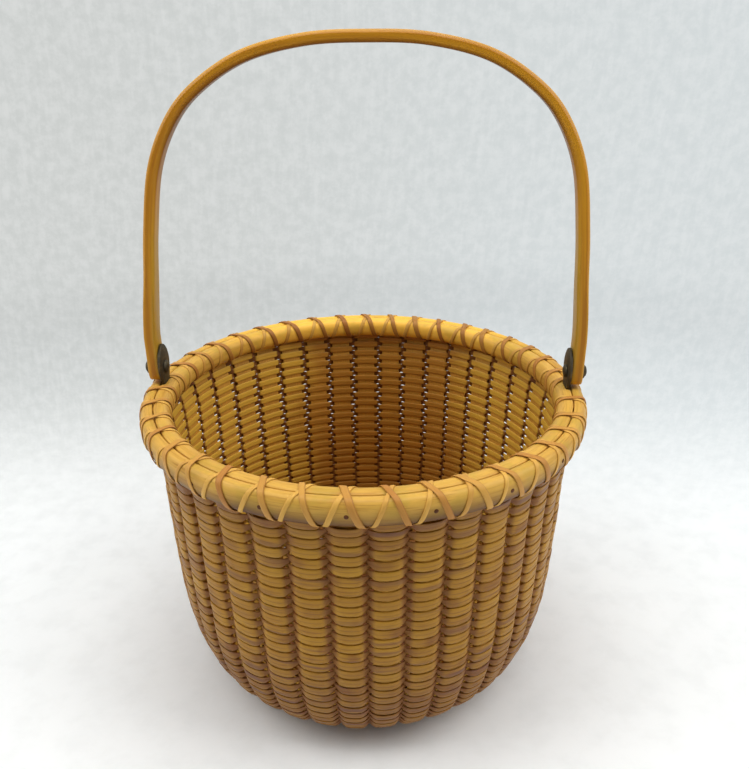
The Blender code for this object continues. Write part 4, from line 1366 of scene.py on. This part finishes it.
class BASKET_OT_staves(BasketOperator, bpy.types.Operator):
    """Set the uprights round the base"""
    bl_idname = "basket.staves"
    bl_label = "Staves"
    build = staticmethod(build_staves)


class BASKET_OT_weave(BasketOperator, bpy.types.Operator):
    """Weave the cane wall"""
    bl_idname = "basket.weave"
    bl_label = "Weave"
    build = staticmethod(build_weave)


class BASKET_OT_hoops(BasketOperator, bpy.types.Operator):
    """Bend the two rim hoops"""
    bl_idname = "basket.hoops"
    bl_label = "Hoops"
    build = staticmethod(build_hoops)


class BASKET_OT_lashing(BasketOperator, bpy.types.Operator):
    """Lash the rim with crossed strips"""
    bl_idname = "basket.lashing"
    bl_label = "Lashing"
    build = staticmethod(build_lashing)


class BASKET_OT_tacks(BasketOperator, bpy.types.Operator):
    """Tack the outer hoop"""
    bl_idname = "basket.tacks"
    bl_label = "Tacks"
    build = staticmethod(build_tacks)


class BASKET_OT_ears(BasketOperator, bpy.types.Operator):
    """Cut the two brass ears"""
    bl_idname = "basket.ears"
    bl_label = "Ears"
    build = staticmethod(build_ears)


class BASKET_OT_rivets(BasketOperator, bpy.types.Operator):
    """Set the rivets and washers"""
    bl_idname = "basket.rivets"
    bl_label = "Rivets"
    build = staticmethod(build_rivets)


class BASKET_OT_handle(BasketOperator, bpy.types.Operator):
    """Bend the swing handle"""
    bl_idname = "basket.handle"
    bl_label = "Handle"
    build = staticmethod(build_handle)


class BASKET_OT_stage(bpy.types.Operator):
    """Set the floor, the lamps and the camera"""
    bl_idname = "basket.stage"
    bl_label = "Stage"
    bl_options = {"REGISTER", "UNDO"}

    def execute(self, context):
        build_stage(context.scene.basket_colours)
        build_camera()
        context.scene.view_settings.view_transform = "Standard"
        return {"FINISHED"}


OPERATORS = (
    BASKET_OT_base, BASKET_OT_staves, BASKET_OT_weave, BASKET_OT_hoops, BASKET_OT_lashing,
    BASKET_OT_tacks, BASKET_OT_ears, BASKET_OT_rivets, BASKET_OT_handle, BASKET_OT_stage,
)


class BASKET_PT_panel(bpy.types.Panel):
    """Sidebar panel with the basket's steps, sizes and colours."""
    bl_idname = "BASKET_PT_panel"
    bl_label = "Handled basket"
    bl_space_type = "VIEW_3D"
    bl_region_type = "UI"
    bl_category = "Basket"

    def draw(self, context):
        for operator in OPERATORS:
            self.layout.operator(operator.bl_idname)
        for group in (context.scene.basket_sizes, context.scene.basket_colours):
            column = self.layout.column(align=True)
            for name in group.__annotations__:
                column.prop(group, name)


CLASSES = (BasketSizes, BasketColours, *OPERATORS, BASKET_PT_panel)


def register():
    for made in CLASSES:
        bpy.utils.register_class(made)
    bpy.types.Scene.basket_sizes = bpy.props.PointerProperty(type=BasketSizes)
    bpy.types.Scene.basket_colours = bpy.props.PointerProperty(type=BasketColours)


def unregister():
    del bpy.types.Scene.basket_colours
    del bpy.types.Scene.basket_sizes
    for made in reversed(CLASSES):
        bpy.utils.unregister_class(made)


def main():
    """Build every piece."""
    register()
    bpy.ops.object.select_all(action="DESELECT")
    bpy.ops.basket.base()
    bpy.ops.basket.staves()
    bpy.ops.basket.weave()
    bpy.ops.basket.hoops()
    bpy.ops.basket.lashing()
    bpy.ops.basket.tacks()
    bpy.ops.basket.ears()
    bpy.ops.basket.rivets()
    bpy.ops.basket.handle()
    bpy.ops.basket.stage()


if __name__ == "__main__":
    main()
